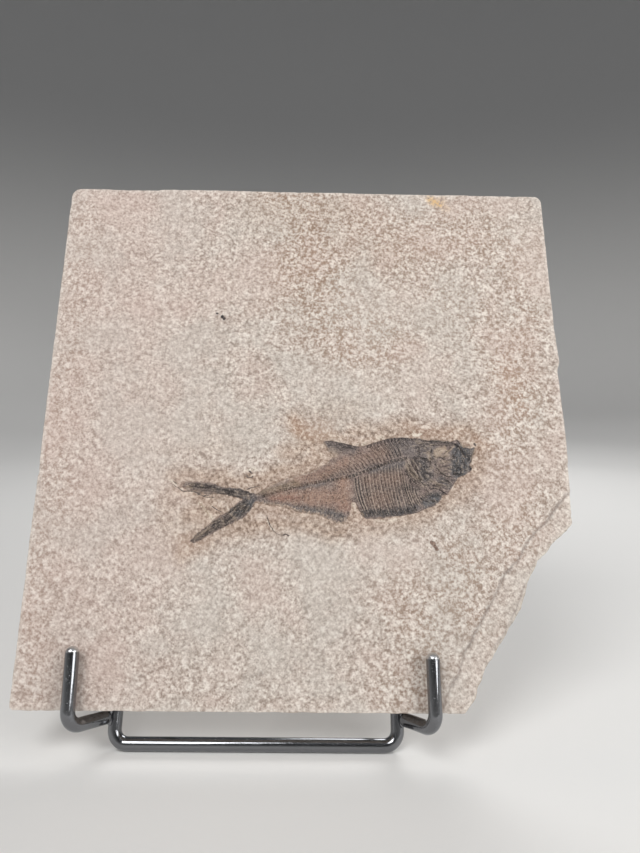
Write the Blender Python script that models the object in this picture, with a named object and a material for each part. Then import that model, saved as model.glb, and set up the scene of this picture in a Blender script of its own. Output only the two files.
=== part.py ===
"""A fossil fish in its limestone slab, leaning on a wire easel.

The slab, the fish and the front of the easel are drawn flat on the slab's own plane, in
millimetres: u to the right, v up the face from its lower edge, w out of the face. One empty
leans that plane back, and a second one leans the easel's rear leg forward to meet it.
Metres, +Z up, the viewer at -Y, the origin on the table under the middle of the whole thing.
"""
import math

import bmesh
import bpy
from mathutils import Matrix, Vector, noise

MM = 0.001                          # the leaning planes are scaled by this
WELD = 0.001                        # points nearer than this are one

# How the thing stands
SLAB_LEAN = 21.0                    # degrees back from upright
LEG_LEAN = 25.5                     # degrees forward from upright
CENTRE_U = -3.8                     # the slab's middle, which is put over the origin
CENTRE_Y = 45.0                     # from the face's lower edge back to the middle of the depth
GAP = 0.3                           # clearance between pieces that touch

# Slab
SLAB_THICK = 9.7
SLAB_HIGH = 201.0
SLAB_CHAMFER = 0.7
FACE_SWELL = 0.22                   # height of the slow undulation of the split faces
EDGE_SWELL = 0.25                   # the same on the sawn edges
BREAK_SWELL = 0.9                   # and on the broken corner
EDGE_WORN = 0.35                    # share of the edges' swell by which they are worn back
SWELL_PITCH = 16.0
SWELL_PITCH_EDGE = SWELL_PITCH / 3
FACING = 0.9                        # a point this squarely on a split face belongs to it
FLAT = 0.01                         # radians between faces that count as one
HALO_DEEP = 0.35                    # the rock pared down round the fish
HALO_WIDE = 6.0
SHELF_DEEP = 0.8                    # the layer that has flaked off along the break
FLAKE_DEEP = 1.7

# Outline of the slab, anticlockwise from the lower left, each point with its corner radius
SLAB_OUTLINE = [
    (-98.4, 0.0, 1.5), (51.0, 0.0, 1.0),
    (55.0, 5.0, 0), (57.0, 10.0, 0), (60.0, 16.0, 0), (66.0, 24.0, 0), (68.0, 27.0, 0),
    (72.5, 33.0, 0), (73.6, 37.0, 0), (76.0, 43.0, 0), (80.0, 50.0, 0), (82.6, 52.0, 0),
    (86.0, 56.0, 0), (90.0, 59.6, 0), (93.4, 63.4, 0),
    (93.9, 95.0, 0), (93.6, 123.0, 0), (94.5, 125.0, 0), (94.4, 131.0, 0), (93.9, 140.0, 0),
    (94.0, SLAB_HIGH, 3.0), (-64.0, SLAB_HIGH, 0), (-67.0, SLAB_HIGH - 0.5, 0),
    (-102.1, SLAB_HIGH - 0.3, 3.6),
]
BREAK_FROM = 51.0                   # the broken edge lies right of this, below BREAK_TOP
BREAK_TOP = 64.0
BELOW_BREAK = (98.0, -6.0)          # a corner off the slab that closes the flaked layers
CUTTER_TOP = 4.0                    # cutters reach this far out of the face

# The slab's faces are cut into cells that can swell: (low, fine from, fine to, high)
CELLS_U = (-92.0, -54.0, 66.0, 84.0)
CELLS_V = (10.0, 50.0, 98.0, 191.0)
CELL_FINE = 5.5
CELL_COARSE = 9.5
SHELF_LINE = [
    (41.0, -3.0), (45.0, 6.7), (50.0, 14.7), (55.3, 24.7), (58.5, 30.0), (62.0, 36.0),
    (66.0, 42.0), (72.7, 50.7), (77.0, 57.5), (82.7, 62.7), (87.0, 68.0), (98.0, 80.0),
]
FLAKE_LINE = [
    (60.0, 14.0), (62.4, 20.4), (66.2, 26.0), (69.0, 30.5), (71.4, 35.0), (73.0, 41.0),
]

# Outline of the fish, facing right: along the head and belly, round the tail, and back
HEAD_UNDER = [
    (55.2, 90.9), (57.2, 90.8), (59.6, 91.1), (58.4, 86.8), (57.3, 84.4), (57.9, 82.9),
    (57.3, 81.6), (55.6, 80.7), (52.8, 79.5), (51.2, 77.2), (49.4, 74.6), (48.6, 73.0),
    (46.4, 73.0), (45.6, 70.6), (43.6, 69.0),
]
BELLY = [
    (40.0, 67.6), (36.2, 66.0), (31.0, 65.0), (26.0, 64.6), (22.0, 63.9), (19.6, 63.8),
    (17.6, 64.6), (16.3, 67.2), (15.0, 69.7), (13.6, 69.6),
]
ANAL_FIN = [
    (13.4, 67.0), (12.6, 64.7), (11.2, 62.2), (8.8, 61.9), (6.0, 63.3), (2.0, 64.9),
    (-5.0, 66.0), (-12.0, 68.0), (-20.6, 69.0),
]
TAIL = [
    (-22.4, 66.8), (-24.2, 64.8), (-26.8, 63.0), (-29.0, 61.8), (-31.6, 60.6), (-34.0, 59.2),
    (-37.0, 57.5), (-41.8, 54.7), (-43.3, 55.4), (-41.0, 58.0), (-38.0, 60.2), (-35.8, 62.6),
    (-32.6, 64.9), (-30.0, 65.6), (-28.6, 68.2), (-24.6, 70.6), (-28.0, 71.2), (-33.0, 72.4),
    (-39.0, 72.9), (-44.6, 73.7), (-47.4, 75.0), (-45.8, 76.5), (-38.0, 76.3), (-33.4, 74.6),
    (-26.0, 74.2), (-22.6, 73.0), (-20.4, 72.5),
]
BACK = [
    (-17.0, 75.0), (-10.0, 78.4), (-4.0, 80.2), (0.0, 81.8), (4.0, 84.0), (7.2, 87.0),
]
DORSAL_FIN = [
    (4.8, 88.6), (3.2, 92.5), (6.0, 92.9), (11.0, 92.0), (15.4, 90.8),
]
NAPE = [
    (18.0, 90.8), (22.0, 92.3), (28.0, 94.1), (33.0, 94.5), (38.2, 94.2), (41.0, 93.3),
    (46.0, 93.5), (50.4, 93.1), (52.8, 93.9), (54.0, 92.4),
]
FISH_OUTLINE = HEAD_UNDER + BELLY + ANAL_FIN + TAIL + BACK + DORSAL_FIN + NAPE

FISH_TOP = 0.1                      # the skin's height on the slab's plane
FISH_THICK = 1.1
BACKBONE = [
    (-19.0, 71.3), (-14.0, 73.0), (-8.7, 74.4), (-4.0, 75.7), (2.5, 77.2), (9.0, 78.2),
    (14.0, 79.3), (20.6, 82.0), (25.0, 83.8), (29.0, 85.2), (34.0, 86.2),
]
VERTEBRA_COUNT = 34
VERTEBRA_LONG = 1.15
VERTEBRA_HIGH = 1.5
VERTEBRA_LAST = 0.72                # size of the tail's last one beside the first
BONE_RISE = 0.42                    # how far the backbone stands above the skin
BONE_SIDES = 4
BONE_TAPER = 0.6
SUNK = 0.07                         # bones are centred this far under the skin

RIB_COUNT = 17
RIB_FIRST_U = 15.6
RIB_PITCH = 1.22
RIB_SWEEP = 3.2                     # how far forward a rib's lower end lies
RIB_BOW = ((0, 0), (1 / 3, 0.12), (2 / 3, 0.46), (1, 1))    # (share of the fall, of the sweep)
RIB_UNDER_BACKBONE = 1.1
RIB_ABOVE_BELLY = 3.2
RIB_THICK = 0.46
SHOULDER = [(30.0, 90.0), (31.5, 83.0), (34.0, 78.0), (36.0, 75.0)]

SPINE_COUNT = 16
SPINE_FIRST_U = 9.4
SPINE_PITCH = 1.35
SPINE_ABOVE_BACKBONE = 1.15
SPINE_LEAN = (156.0, 126.0)         # degrees from straight ahead, at the tail and at the head
SPINE_LONG = (3.6, 7.0)
SPINE_THICK = 0.36
RIDGE_THICK = 0.85

# Plates of the head and shoulder: how far each stands above the skin, and its outline
HEAD_PLATES = {
    "gill cover": (0.30, [
        (37.6, 84.4), (37.9, 81.4), (39.0, 78.6), (40.8, 77.0), (42.6, 77.4), (43.7, 79.6),
        (43.9, 82.6), (43.1, 85.4), (41.4, 87.0), (38.8, 86.6)]),
    "cheek": (0.22, [
        (45.2, 85.8), (45.8, 82.6), (47.6, 80.6), (49.6, 80.8), (50.2, 83.6), (49.8, 86.6),
        (47.2, 87.2)]),
    "jaw": (0.34, [
        (51.0, 88.6), (50.8, 84.0), (51.4, 80.8), (53.8, 80.8), (56.0, 82.0), (56.6, 84.4),
        (57.2, 87.2), (56.8, 89.8), (54.4, 90.4), (52.6, 90.6)]),
    "brow": (0.26, [
        (38.8, 93.2), (39.4, 91.9), (46.4, 91.4), (51.4, 91.8), (51.6, 92.8), (46.2, 92.9),
        (41.4, 92.6)]),
    "throat": (0.24, [
        (44.4, 78.8), (45.6, 76.4), (48.6, 75.6), (50.0, 77.6), (48.0, 78.8)]),
    "breast": (0.28, [
        (40.8, 72.4), (41.6, 70.0), (43.6, 70.0), (45.2, 71.6), (45.6, 73.4), (43.4, 74.0)]),
}
PLATE_CHAMFER = 0.3
HEAD_RIDGES = [
    [(52.0, 92.4), (53.4, 91.0), (54.7, 89.2), (55.6, 86.8)],
    [(42.4, 74.9), (44.2, 75.3), (46.4, 74.2), (48.3, 73.3)],
    [(36.6, 86.4), (37.2, 84.2), (37.4, 81.6), (38.2, 79.4), (40.6, 77.3)],
    [(34.4, 84.0), (35.0, 81.0), (36.6, 78.6), (39.8, 76.2)],
    [(43.8, 86.6), (44.6, 83.6), (46.4, 80.4), (49.2, 78.6)],
]
TAIL_RAYS = [
    [(-23.4, 72.0), (-29.0, 73.5), (-35.0, 74.6), (-46.2, 75.8)],
    [(-23.6, 71.3), (-30.0, 72.4), (-36.0, 73.6), (-45.6, 74.8)],
    [(-22.6, 69.6), (-25.6, 66.6), (-30.4, 63.0), (-36.0, 59.4), (-42.4, 55.6)],
    [(-24.0, 70.0), (-27.4, 67.4), (-32.0, 63.8), (-36.0, 60.8), (-41.6, 56.9)],
]
RAY_THICK = 0.4
# Short bones along the lower edge: count, first u, pitch, and each bone's points as
# (how far ahead, how far above the edge)
ANAL_RAYS = (9, -14.0, 3.0, ((2.4, 3.0), (0.0, 0.7)))
BELLY_SCUTES = (13, 18.6, 1.55, ((0.8, 0.7), (0.0, 2.2)))
# The dorsal fin's rays: the first one's root and tip, and the step from each to the next
DORSAL_RAYS = 6
DORSAL_FIRST = ((14.6, 89.9), (4.8, 92.0))
DORSAL_STEP = ((-1.5, -0.55), (0.2, -0.72))
BACK_SCUTES = 12
BACK_SCUTE_INSET = 0.9              # from the back's edge
BACK_SCUTE_LONG = 0.9
BACK_SCUTE_HIGH = 0.8
BACK_SCUTE_RISE = 0.35

# Easel of round wire
WIRE = 4.76
WIRE_SIDES = 12
BEND = 4.6                          # radius of the wire's bends on its centre line
BACK_BEND = 14.0
SIDE_LEFT_U = -66.7
SIDE_RIGHT_U = 29.8
FRAME_W = -12.4
FOOT_V = -11.5
FRAME_TOP_V = 122.0
HOOK_W = 3.9
HOOK_V = -4.5                       # the hook's arm where it turns up in front of the slab
ARM_END_V = -2.4
HOOKS = {                           # name: (root side, prong's foot, prong's tip, tip's height)
    "easel_hook_left": (SIDE_LEFT_U, -77.6, -78.6, 19.0),
    "easel_hook_right": (SIDE_RIGHT_U, 40.2, 40.0, 18.0),
}
TIP_CHAMFER = 0.45
LEG_MEETS_V = 96.0                  # the height up the frame where the rear leg is welded on
LEG_PAST = 0.8                      # the leg's ends run this far past the weld

BEND_STEP = math.radians(15)
FACET = math.pi / WIRE_SIDES        # half the angle of one flat of the wire
FOOT_HIGH = WIRE / 2 * math.cos(FACET)

# Colours: base colour, roughness, metallic
FINISHES = {
    "stone": ((0.62, 0.56, 0.49), 0.85, 0.0),
    "bone": ((0.16, 0.12, 0.10), 0.60, 0.0),
    "chrome": ((0.62, 0.62, 0.64), 0.12, 1.0),
}


def clear_scene():
    for old in list(bpy.data.objects):
        bpy.data.objects.remove(old, do_unlink=True)


def collection(name):
    made = bpy.data.collections.new(name)
    bpy.context.scene.collection.children.link(made)
    return made


def finish(name):
    colour, roughness, metallic = FINISHES[name]
    made = bpy.data.materials.new(name)
    made.use_nodes = True
    shader = made.node_tree.nodes["Principled BSDF"]
    shader.inputs["Base Color"].default_value = (*colour, 1.0)
    shader.inputs["Roughness"].default_value = roughness
    shader.inputs["Metallic"].default_value = metallic
    return made


def leaning_plane(name, location, turn):
    """An empty whose X and Y lie in a leaning plane."""
    plane = bpy.data.objects.new(name, None)
    plane.location = Vector(location) * MM
    plane.rotation_euler = (turn, 0.0, 0.0)
    plane.scale = (MM, MM, MM)
    PARTS.objects.link(plane)
    return plane


def rounded(corners, closed=False):
    """Turn corners (place, bend radius) into a path whose bends are arcs."""
    path = []
    for i, (corner, radius) in enumerate(corners):
        at = Vector(corner)
        if radius == 0 or (not closed and i in (0, len(corners) - 1)):
            path.append(at)
            continue
        before = (Vector(corners[i - 1][0]) - at).normalized()
        after = (Vector(corners[(i + 1) % len(corners)][0]) - at).normalized()
        turn = math.pi - before.angle(after)
        centre = at + (before + after).normalized() * radius / math.cos(turn / 2)
        start = at + before * radius * math.tan(turn / 2) - centre
        across = (-before - start * (-before).dot(start) / start.length_squared).normalized()
        steps = max(2, round(turn / BEND_STEP))
        for step in range(steps + 1):
            angle = turn * step / steps
            path.append(centre + start * math.cos(angle) + across * radius * math.sin(angle))
    return path


def outline_curve(name, points, low, high, chamfer=0.0, group=None):
    """A flat outline on the plane, filled between the heights low and high."""
    curve = bpy.data.curves.new(name, "CURVE")
    curve.dimensions = "2D"
    curve.fill_mode = "BOTH"
    curve.extrude = (high - low) / 2 - chamfer
    curve.bevel_depth = chamfer
    curve.bevel_resolution = 0
    curve.offset = -chamfer
    spline = curve.splines.new("POLY")
    spline.points.add(len(points) - 1)
    for slot, point in zip(spline.points, points):
        slot.co = (*point[:2], 0.0, 1.0)
    spline.use_cyclic_u = True
    made = bpy.data.objects.new(name, curve)
    made.location.z = (low + high) / 2
    (group or PARTS).objects.link(made)
    return made


def wire_curve(name, paths, diameter, sides, tilt=0.0, closed=False, taper=1.0, group=None):
    """Wire along one or more paths, flat at its ends and shrinking to taper at the far one."""
    curve = bpy.data.curves.new(name, "CURVE")
    curve.dimensions = "3D"
    curve.twist_mode = "Z_UP"
    curve.bevel_depth = diameter / 2
    curve.bevel_resolution = (sides - 4) // 2
    curve.use_fill_caps = True
    for path in paths:
        spline = curve.splines.new("POLY")
        spline.points.add(len(path) - 1)
        for i, (slot, point) in enumerate(zip(spline.points, path)):
            slot.co = (*Vector(point).to_3d(), 1.0)
            slot.tilt = tilt
            slot.radius = 1 + (taper - 1) * i / (len(path) - 1)
        spline.use_cyclic_u = closed
    made = bpy.data.objects.new(name, curve)
    (group or PARTS).objects.link(made)
    return made


def as_mesh(source):
    """Replace a curve by its closed mesh."""
    bpy.context.view_layer.update()
    seen = source.evaluated_get(bpy.context.evaluated_depsgraph_get())
    mesh = bpy.data.meshes.new_from_object(seen)
    shape = bmesh.new()
    shape.from_mesh(mesh)
    bmesh.ops.remove_doubles(shape, verts=shape.verts, dist=WELD)
    bmesh.ops.recalc_face_normals(shape, faces=shape.faces)
    shape.to_mesh(mesh)
    shape.free()
    name = source.name
    group = source.users_collection[0]
    made = bpy.data.objects.new(name, mesh)
    made.matrix_world = source.matrix_world
    bpy.data.objects.remove(source)
    made.name = name
    group.objects.link(made)
    return made


def put_on(plane, piece, material):
    piece.parent = plane
    piece.data.materials.clear()
    piece.data.materials.append(material)


def combine(target, other, operation):
    """A Boolean of the target with a hidden mesh that stays in the cutters' collection."""
    other.hide_render = True
    other.display_type = "WIRE"
    other.parent = target.parent
    step = target.modifiers.new(other.name, "BOOLEAN")
    step.operation = operation
    step.use_self = True
    step.object = other


def along(path, share):
    """The point at a share of the way along a path of 2D points."""
    points = [Vector(point) for point in path]
    lengths = [(b - a).length for a, b in zip(points, points[1:])]
    left = share * sum(lengths)
    for start, end, length in zip(points, points[1:], lengths):
        if left <= length:
            return start.lerp(end, left / length)
        left -= length
    return points[-1]


def height_at(path, u):
    """The v of a path that runs left to right, at one u."""
    for (u0, v0), (u1, v1) in zip(path, path[1:]):
        if u0 <= u <= u1:
            return v0 + (v1 - v0) * (u - u0) / (u1 - u0)
    return path[0][1] if u < path[0][0] else path[-1][1]


def grown(points, distance):
    """An outline moved outwards by a distance; the points run clockwise."""
    moved = []
    for i, point in enumerate(points):
        at = Vector(point)
        ahead = (Vector(points[(i + 1) % len(points)]) - at).normalized()
        behind = (at - Vector(points[i - 1])).normalized()
        out = (Vector((-ahead.y, ahead.x)) + Vector((-behind.y, behind.x))).normalized()
        moved.append(at + out * distance / max(0.5, out.dot(Vector((-ahead.y, ahead.x)))))
    return moved


def distance_to_fish(point):
    """Zero inside the fish's outline, else the distance to it."""
    inside = False
    nearest = math.inf
    for start, end in zip(FISH_OUTLINE, FISH_OUTLINE[1:] + FISH_OUTLINE[:1]):
        a, b = Vector(start), Vector(end)
        share = max(0.0, min(1.0, (point - a).dot(b - a) / (b - a).length_squared))
        nearest = min(nearest, (a.lerp(b, share) - point).length)
        if (a.y > point.y) != (b.y > point.y):
            if point.x < a.x + (point.y - a.y) / (b.y - a.y) * (b.x - a.x):
                inside = not inside
    return 0.0 if inside else nearest


def steps_between(low, high, pitch):
    count = round((high - low) / pitch)
    return [low + (high - low) * i / count for i in range(count + 1)]


def cell_cuts(low, fine_low, fine_high, high):
    """Where to cut along one axis: finely in the middle and coarsely on both sides."""
    before = steps_between(low, fine_low, CELL_COARSE)[:-1]
    after = steps_between(fine_high, high, CELL_COARSE)[1:]
    return before + steps_between(fine_low, fine_high, CELL_FINE) + after


def swell_at(place, normal):
    """How far a point of the slab moves out of its face."""
    if abs(normal.z) > FACING:
        move = FACE_SWELL * noise.noise(place / SWELL_PITCH)
    else:
        broken = place.x > BREAK_FROM and place.y < BREAK_TOP
        rough = BREAK_SWELL if broken else EDGE_SWELL
        move = rough * (noise.noise(place / SWELL_PITCH_EDGE) - EDGE_WORN)
    if normal.z > 0.5:
        near = distance_to_fish(place.to_2d())
        move -= HALO_DEEP * max(0.0, 1 - near / HALO_WIDE)
    return move


def weathered_slab():
    """The slab's own solid: a chamfered outline, cut into cells that are then moved."""
    outline = rounded([((u, v), radius) for u, v, radius in SLAB_OUTLINE], closed=True)
    slab = as_mesh(outline_curve("stone_slab", outline, -SLAB_THICK, 0.0, SLAB_CHAMFER))
    shape = bmesh.new()
    shape.from_mesh(slab.data)
    bmesh.ops.dissolve_limit(shape, angle_limit=FLAT, verts=shape.verts, edges=shape.edges)
    cuts = [((u, 0, 0), (1, 0, 0)) for u in cell_cuts(*CELLS_U)]
    cuts += [((0, v, 0), (0, 1, 0)) for v in cell_cuts(*CELLS_V)]
    cuts += [((0, 0, w), (0, 0, 1)) for w in (-SLAB_THICK / 6, SLAB_THICK / 6)]
    for place, normal in cuts:
        everything = shape.verts[:] + shape.edges[:] + shape.faces[:]
        bmesh.ops.bisect_plane(shape, geom=everything, plane_co=place, plane_no=normal,
                               dist=WELD)
    shape.normal_update()
    for vertex in shape.verts:
        vertex.co += vertex.normal * swell_at(vertex.co, vertex.normal)
    bmesh.ops.triangulate(shape, faces=shape.faces)
    shape.to_mesh(slab.data)
    shape.free()
    return slab


def stone_slab(plane, material):
    slab = weathered_slab()
    put_on(plane, slab, material)
    for name, line, deep in (("flaked shelf", SHELF_LINE, SHELF_DEEP),
                             ("second flake", FLAKE_LINE, FLAKE_DEEP)):
        layer = as_mesh(outline_curve(name, line + [BELOW_BREAK], -deep, CUTTER_TOP,
                                      group=CUTTERS))
        combine(slab, layer, "DIFFERENCE")
    pocket = as_mesh(outline_curve("fish pocket", grown(FISH_OUTLINE, GAP),
                                   FISH_TOP - FISH_THICK - GAP, CUTTER_TOP, group=CUTTERS))
    combine(slab, pocket, "DIFFERENCE")


def join_meshes(name, pieces):
    """Several small solids in one mesh, to be fused to the fish together."""
    shape = bmesh.new()
    for piece in pieces:
        piece.data.transform(piece.matrix_basis)
        shape.from_mesh(piece.data)
        bpy.data.objects.remove(piece)
    mesh = bpy.data.meshes.new(name)
    shape.to_mesh(mesh)
    shape.free()
    made = bpy.data.objects.new(name, mesh)
    CUTTERS.objects.link(made)
    return made


def beads(name, places):
    """Flattened beads on the skin: (centre, length, height, turn in radians, rise)."""
    shape = bmesh.new()
    for centre, long, high, turn, rise in places:
        place = Matrix.Translation((*centre, FISH_TOP - SUNK))
        place = place @ Matrix.Rotation(turn, 4, "Z")
        place = place @ Matrix.Diagonal((long / 2, high / 2, rise + SUNK, 1.0))
        bmesh.ops.create_icosphere(shape, subdivisions=1, radius=1.0, matrix=place)
    mesh = bpy.data.meshes.new(name)
    shape.to_mesh(mesh)
    shape.free()
    made = bpy.data.objects.new(name, mesh)
    CUTTERS.objects.link(made)
    return made


def thin_bones(name, paths, thick):
    """Half-sunk rods along paths on the skin."""
    made = as_mesh(wire_curve(name, paths, thick, BONE_SIDES, taper=BONE_TAPER, group=CUTTERS))
    made.location.z = FISH_TOP - SUNK
    return made


def bone_plates():
    """Flat plates whose lower chamfer is under the skin."""
    low = FISH_TOP - SUNK - PLATE_CHAMFER
    return [as_mesh(outline_curve(name, outline, low, FISH_TOP + rise, PLATE_CHAMFER, CUTTERS))
            for name, (rise, outline) in HEAD_PLATES.items()]


def vertebrae():
    places = []
    for i in range(VERTEBRA_COUNT):
        share = i / (VERTEBRA_COUNT - 1)
        step = 1 / VERTEBRA_COUNT
        run = along(BACKBONE, min(1.0, share + step)) - along(BACKBONE, max(0.0, share - step))
        size = VERTEBRA_LAST + (1 - VERTEBRA_LAST) * share
        places.append((along(BACKBONE, share), VERTEBRA_LONG * size, VERTEBRA_HIGH * size,
                       math.atan2(run.y, run.x), BONE_RISE))
    return places


def back_scutes():
    line = [(u, v - BACK_SCUTE_INSET) for u, v in NAPE[1:7]]
    return [(along(line, i / (BACK_SCUTES - 1)), BACK_SCUTE_LONG, BACK_SCUTE_HIGH, 0.0,
             BACK_SCUTE_RISE) for i in range(BACK_SCUTES)]


def rib_paths():
    belly = BELLY[::-1] + [HEAD_UNDER[-1]]
    paths = []
    for i in range(RIB_COUNT):
        u = RIB_FIRST_U + i * RIB_PITCH
        top = min(height_at(BACKBONE, u) - RIB_UNDER_BACKBONE, height_at(SHOULDER, u))
        fall = top - height_at(belly, u + RIB_SWEEP) - RIB_ABOVE_BELLY
        paths.append([(u + RIB_SWEEP * sweep, top - fall * down) for down, sweep in RIB_BOW])
    return paths


def spine_paths():
    paths = []
    for i in range(SPINE_COUNT):
        share = i / (SPINE_COUNT - 1)
        u = SPINE_FIRST_U + i * SPINE_PITCH
        foot = Vector((u, height_at(BACKBONE, u) + SPINE_ABOVE_BACKBONE))
        angle, reach = (low + (high - low) * share for low, high in (SPINE_LEAN, SPINE_LONG))
        angle = math.radians(angle)
        paths.append([foot, foot + reach * Vector((math.cos(angle), math.sin(angle)))])
    return paths


def bones_on_edge(edge, count, first_u, pitch, bone):
    """Short bones along an edge that runs left to right."""
    paths = []
    for i in range(count):
        u = first_u + i * pitch
        paths.append([(u + ahead, height_at(edge, u) + above) for ahead, above in bone])
    return paths


def fin_ray_paths():
    paths = TAIL_RAYS + bones_on_edge(ANAL_FIN[::-1], *ANAL_RAYS)
    paths += bones_on_edge(BELLY[::-1], *BELLY_SCUTES)
    for i in range(DORSAL_RAYS):
        paths.append([Vector(end) + i * Vector(step)
                      for end, step in zip(DORSAL_FIRST, DORSAL_STEP)])
    return paths


def fossil_fish(plane, material):
    fish = as_mesh(outline_curve("fossil_fish", FISH_OUTLINE, FISH_TOP - FISH_THICK, FISH_TOP))
    put_on(plane, fish, material)
    combine(fish, join_meshes("head plates", bone_plates()), "UNION")
    small = [beads("vertebrae and scutes", vertebrae() + back_scutes()),
             thin_bones("ribs", rib_paths(), RIB_THICK),
             thin_bones("spines", spine_paths(), SPINE_THICK),
             thin_bones("rays", fin_ray_paths(), RAY_THICK)]
    combine(fish, join_meshes("backbone and ribs", small), "UNION")
    combine(fish, thin_bones("head ridges", HEAD_RIDGES, RIDGE_THICK), "UNION")


def easel_frame(plane, material):
    corners = [((SIDE_LEFT_U, FOOT_V), BEND), ((SIDE_RIGHT_U, FOOT_V), BEND),
               ((SIDE_RIGHT_U, FRAME_TOP_V), BACK_BEND), ((SIDE_LEFT_U, FRAME_TOP_V), BACK_BEND)]
    frame = wire_curve("easel_frame", [rounded(corners, closed=True)], WIRE, WIRE_SIDES,
                       tilt=math.radians(SLAB_LEAN) - FACET, closed=True)
    frame.location.z = FRAME_W
    put_on(plane, frame, material)


def easel_hook(name, plane, material):
    side_u, foot_u, tip_u, tip_v = HOOKS[name]
    foot = Vector((foot_u, HOOK_V, HOOK_W))
    arm = Vector((side_u, ARM_END_V, FRAME_W)) - foot
    clear = WIRE / 2 * (1 + abs(arm.y) / arm.length) + GAP
    root = foot + arm * (1 - clear / arm.length)
    tip = Vector((tip_u, tip_v, HOOK_W))
    below_tip = tip + (foot - tip).normalized() * TIP_CHAMFER
    path = rounded([(root, 0), (foot, BEND), (below_tip, 0)]) + [tip]
    hook = wire_curve(name, [path], WIRE, WIRE_SIDES)
    hook.data.splines[0].points[-1].radius = 1 - 2 * TIP_CHAMFER / WIRE
    put_on(plane, hook, material)


def easel_rear_leg(plane, long, material):
    left, right = SIDE_LEFT_U + WIRE + GAP, SIDE_RIGHT_U - WIRE - GAP
    path = rounded([((left, long), 0), ((left, 0), BEND), ((right, 0), BEND), ((right, long), 0)])
    leg = wire_curve("easel_rear_leg", [path], WIRE, WIRE_SIDES,
                     tilt=FACET - math.radians(LEG_LEAN))
    put_on(plane, leg, material)


def main():
    lean, leg_lean = math.radians(SLAB_LEAN), math.radians(LEG_LEAN)
    foot_drop = FOOT_V * math.cos(lean) + FRAME_W * math.sin(lean)
    toe = Vector((-CENTRE_U, -CENTRE_Y, FOOT_HIGH - foot_drop))
    slab_plane = leaning_plane("slab_plane", toe, math.pi / 2 - lean)
    weld = toe + Vector((0, LEG_MEETS_V * math.sin(lean) - FRAME_W * math.cos(lean),
                         LEG_MEETS_V * math.cos(lean) + FRAME_W * math.sin(lean)))
    leg_high = weld.z - FOOT_HIGH
    leg_foot = Vector((toe.x, weld.y + leg_high * math.tan(leg_lean), FOOT_HIGH))
    leg_plane = leaning_plane("leg_plane", leg_foot, math.pi / 2 + leg_lean)
    stone, bone, chrome = (finish(name) for name in FINISHES)
    stone_slab(slab_plane, stone)
    fossil_fish(slab_plane, bone)
    easel_frame(slab_plane, chrome)
    for name in HOOKS:
        easel_hook(name, slab_plane, chrome)
    easel_rear_leg(leg_plane, leg_high / math.cos(leg_lean) + LEG_PAST, chrome)


clear_scene()
PARTS = collection("fossil_fish_slab")
CUTTERS = collection("cutters")
main()
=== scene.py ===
# %% [markdown]
# # A fossil fish in its slab, standing on a wire easel
#
# The model comes in as a fixed frame: a limestone slab, the fish in its face, and four bent
# wires that hold the slab up. The frame is right in size and place, and plain. This notebook
# dresses it: stone with grain and stains, bone with ribs, and bright wire.

# %% Load the frame
import math

import bmesh
import bpy
import numpy as np
from mathutils import Matrix, Vector, noise
from mathutils.geometry import delaunay_2d_cdt


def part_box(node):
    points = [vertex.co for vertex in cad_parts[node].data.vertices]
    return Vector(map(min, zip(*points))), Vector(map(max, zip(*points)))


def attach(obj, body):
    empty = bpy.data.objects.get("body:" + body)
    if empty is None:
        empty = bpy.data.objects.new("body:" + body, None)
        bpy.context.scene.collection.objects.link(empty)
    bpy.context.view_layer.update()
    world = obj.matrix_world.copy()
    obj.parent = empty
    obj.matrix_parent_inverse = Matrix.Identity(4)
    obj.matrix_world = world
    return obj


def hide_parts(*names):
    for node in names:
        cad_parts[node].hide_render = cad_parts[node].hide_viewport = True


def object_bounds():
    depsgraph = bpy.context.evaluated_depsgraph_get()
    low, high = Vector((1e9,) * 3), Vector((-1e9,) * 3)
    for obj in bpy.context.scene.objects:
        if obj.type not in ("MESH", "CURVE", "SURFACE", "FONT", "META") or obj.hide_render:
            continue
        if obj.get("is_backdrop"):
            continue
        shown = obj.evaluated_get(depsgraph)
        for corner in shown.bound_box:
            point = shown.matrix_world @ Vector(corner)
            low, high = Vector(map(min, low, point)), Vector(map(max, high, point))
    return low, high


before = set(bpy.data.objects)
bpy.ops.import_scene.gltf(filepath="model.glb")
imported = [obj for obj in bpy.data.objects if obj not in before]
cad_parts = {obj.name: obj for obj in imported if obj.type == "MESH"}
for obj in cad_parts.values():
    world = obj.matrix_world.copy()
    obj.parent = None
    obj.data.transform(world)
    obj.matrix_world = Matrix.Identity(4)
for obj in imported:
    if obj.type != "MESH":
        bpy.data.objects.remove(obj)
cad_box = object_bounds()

print("nodes:", sorted(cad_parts))

# %% [markdown]
# ## The slab's plane
#
# The slab leans back, so it is far easier to draw on its own plane: u to the right, v up the
# face from its lower edge, w out of the face, all in millimetres. One function turns such
# places into the frame's metres. Everything but the rear leg is drawn this way.

# %% Places on the slab's plane
MM = 0.001
LEAN = math.radians(21.0)
TOE = np.array((3.8, -45.0, 17.48))             # the lower edge of the face, in the frame
AXES = np.array((
    (1.0, 0.0, 0.0),
    (0.0, math.sin(LEAN), math.cos(LEAN)),
    (0.0, -math.cos(LEAN), math.sin(LEAN)),
))
SLAB_THICK = 9.7
SLAB_HIGH = 201.0


def in_frame(places):
    """Rows of (u, v, w) in millimetres, as rows in the frame's metres."""
    return (TOE + np.asarray(places, float) @ AXES) * MM


_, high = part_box("stone_slab")
face_top = in_frame([(0.0, SLAB_HIGH, 0.0)])[0]
print(f"the face's top is {abs(face_top[2] - high.z) / MM:.2f} mm from that of the frame's slab")

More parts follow.
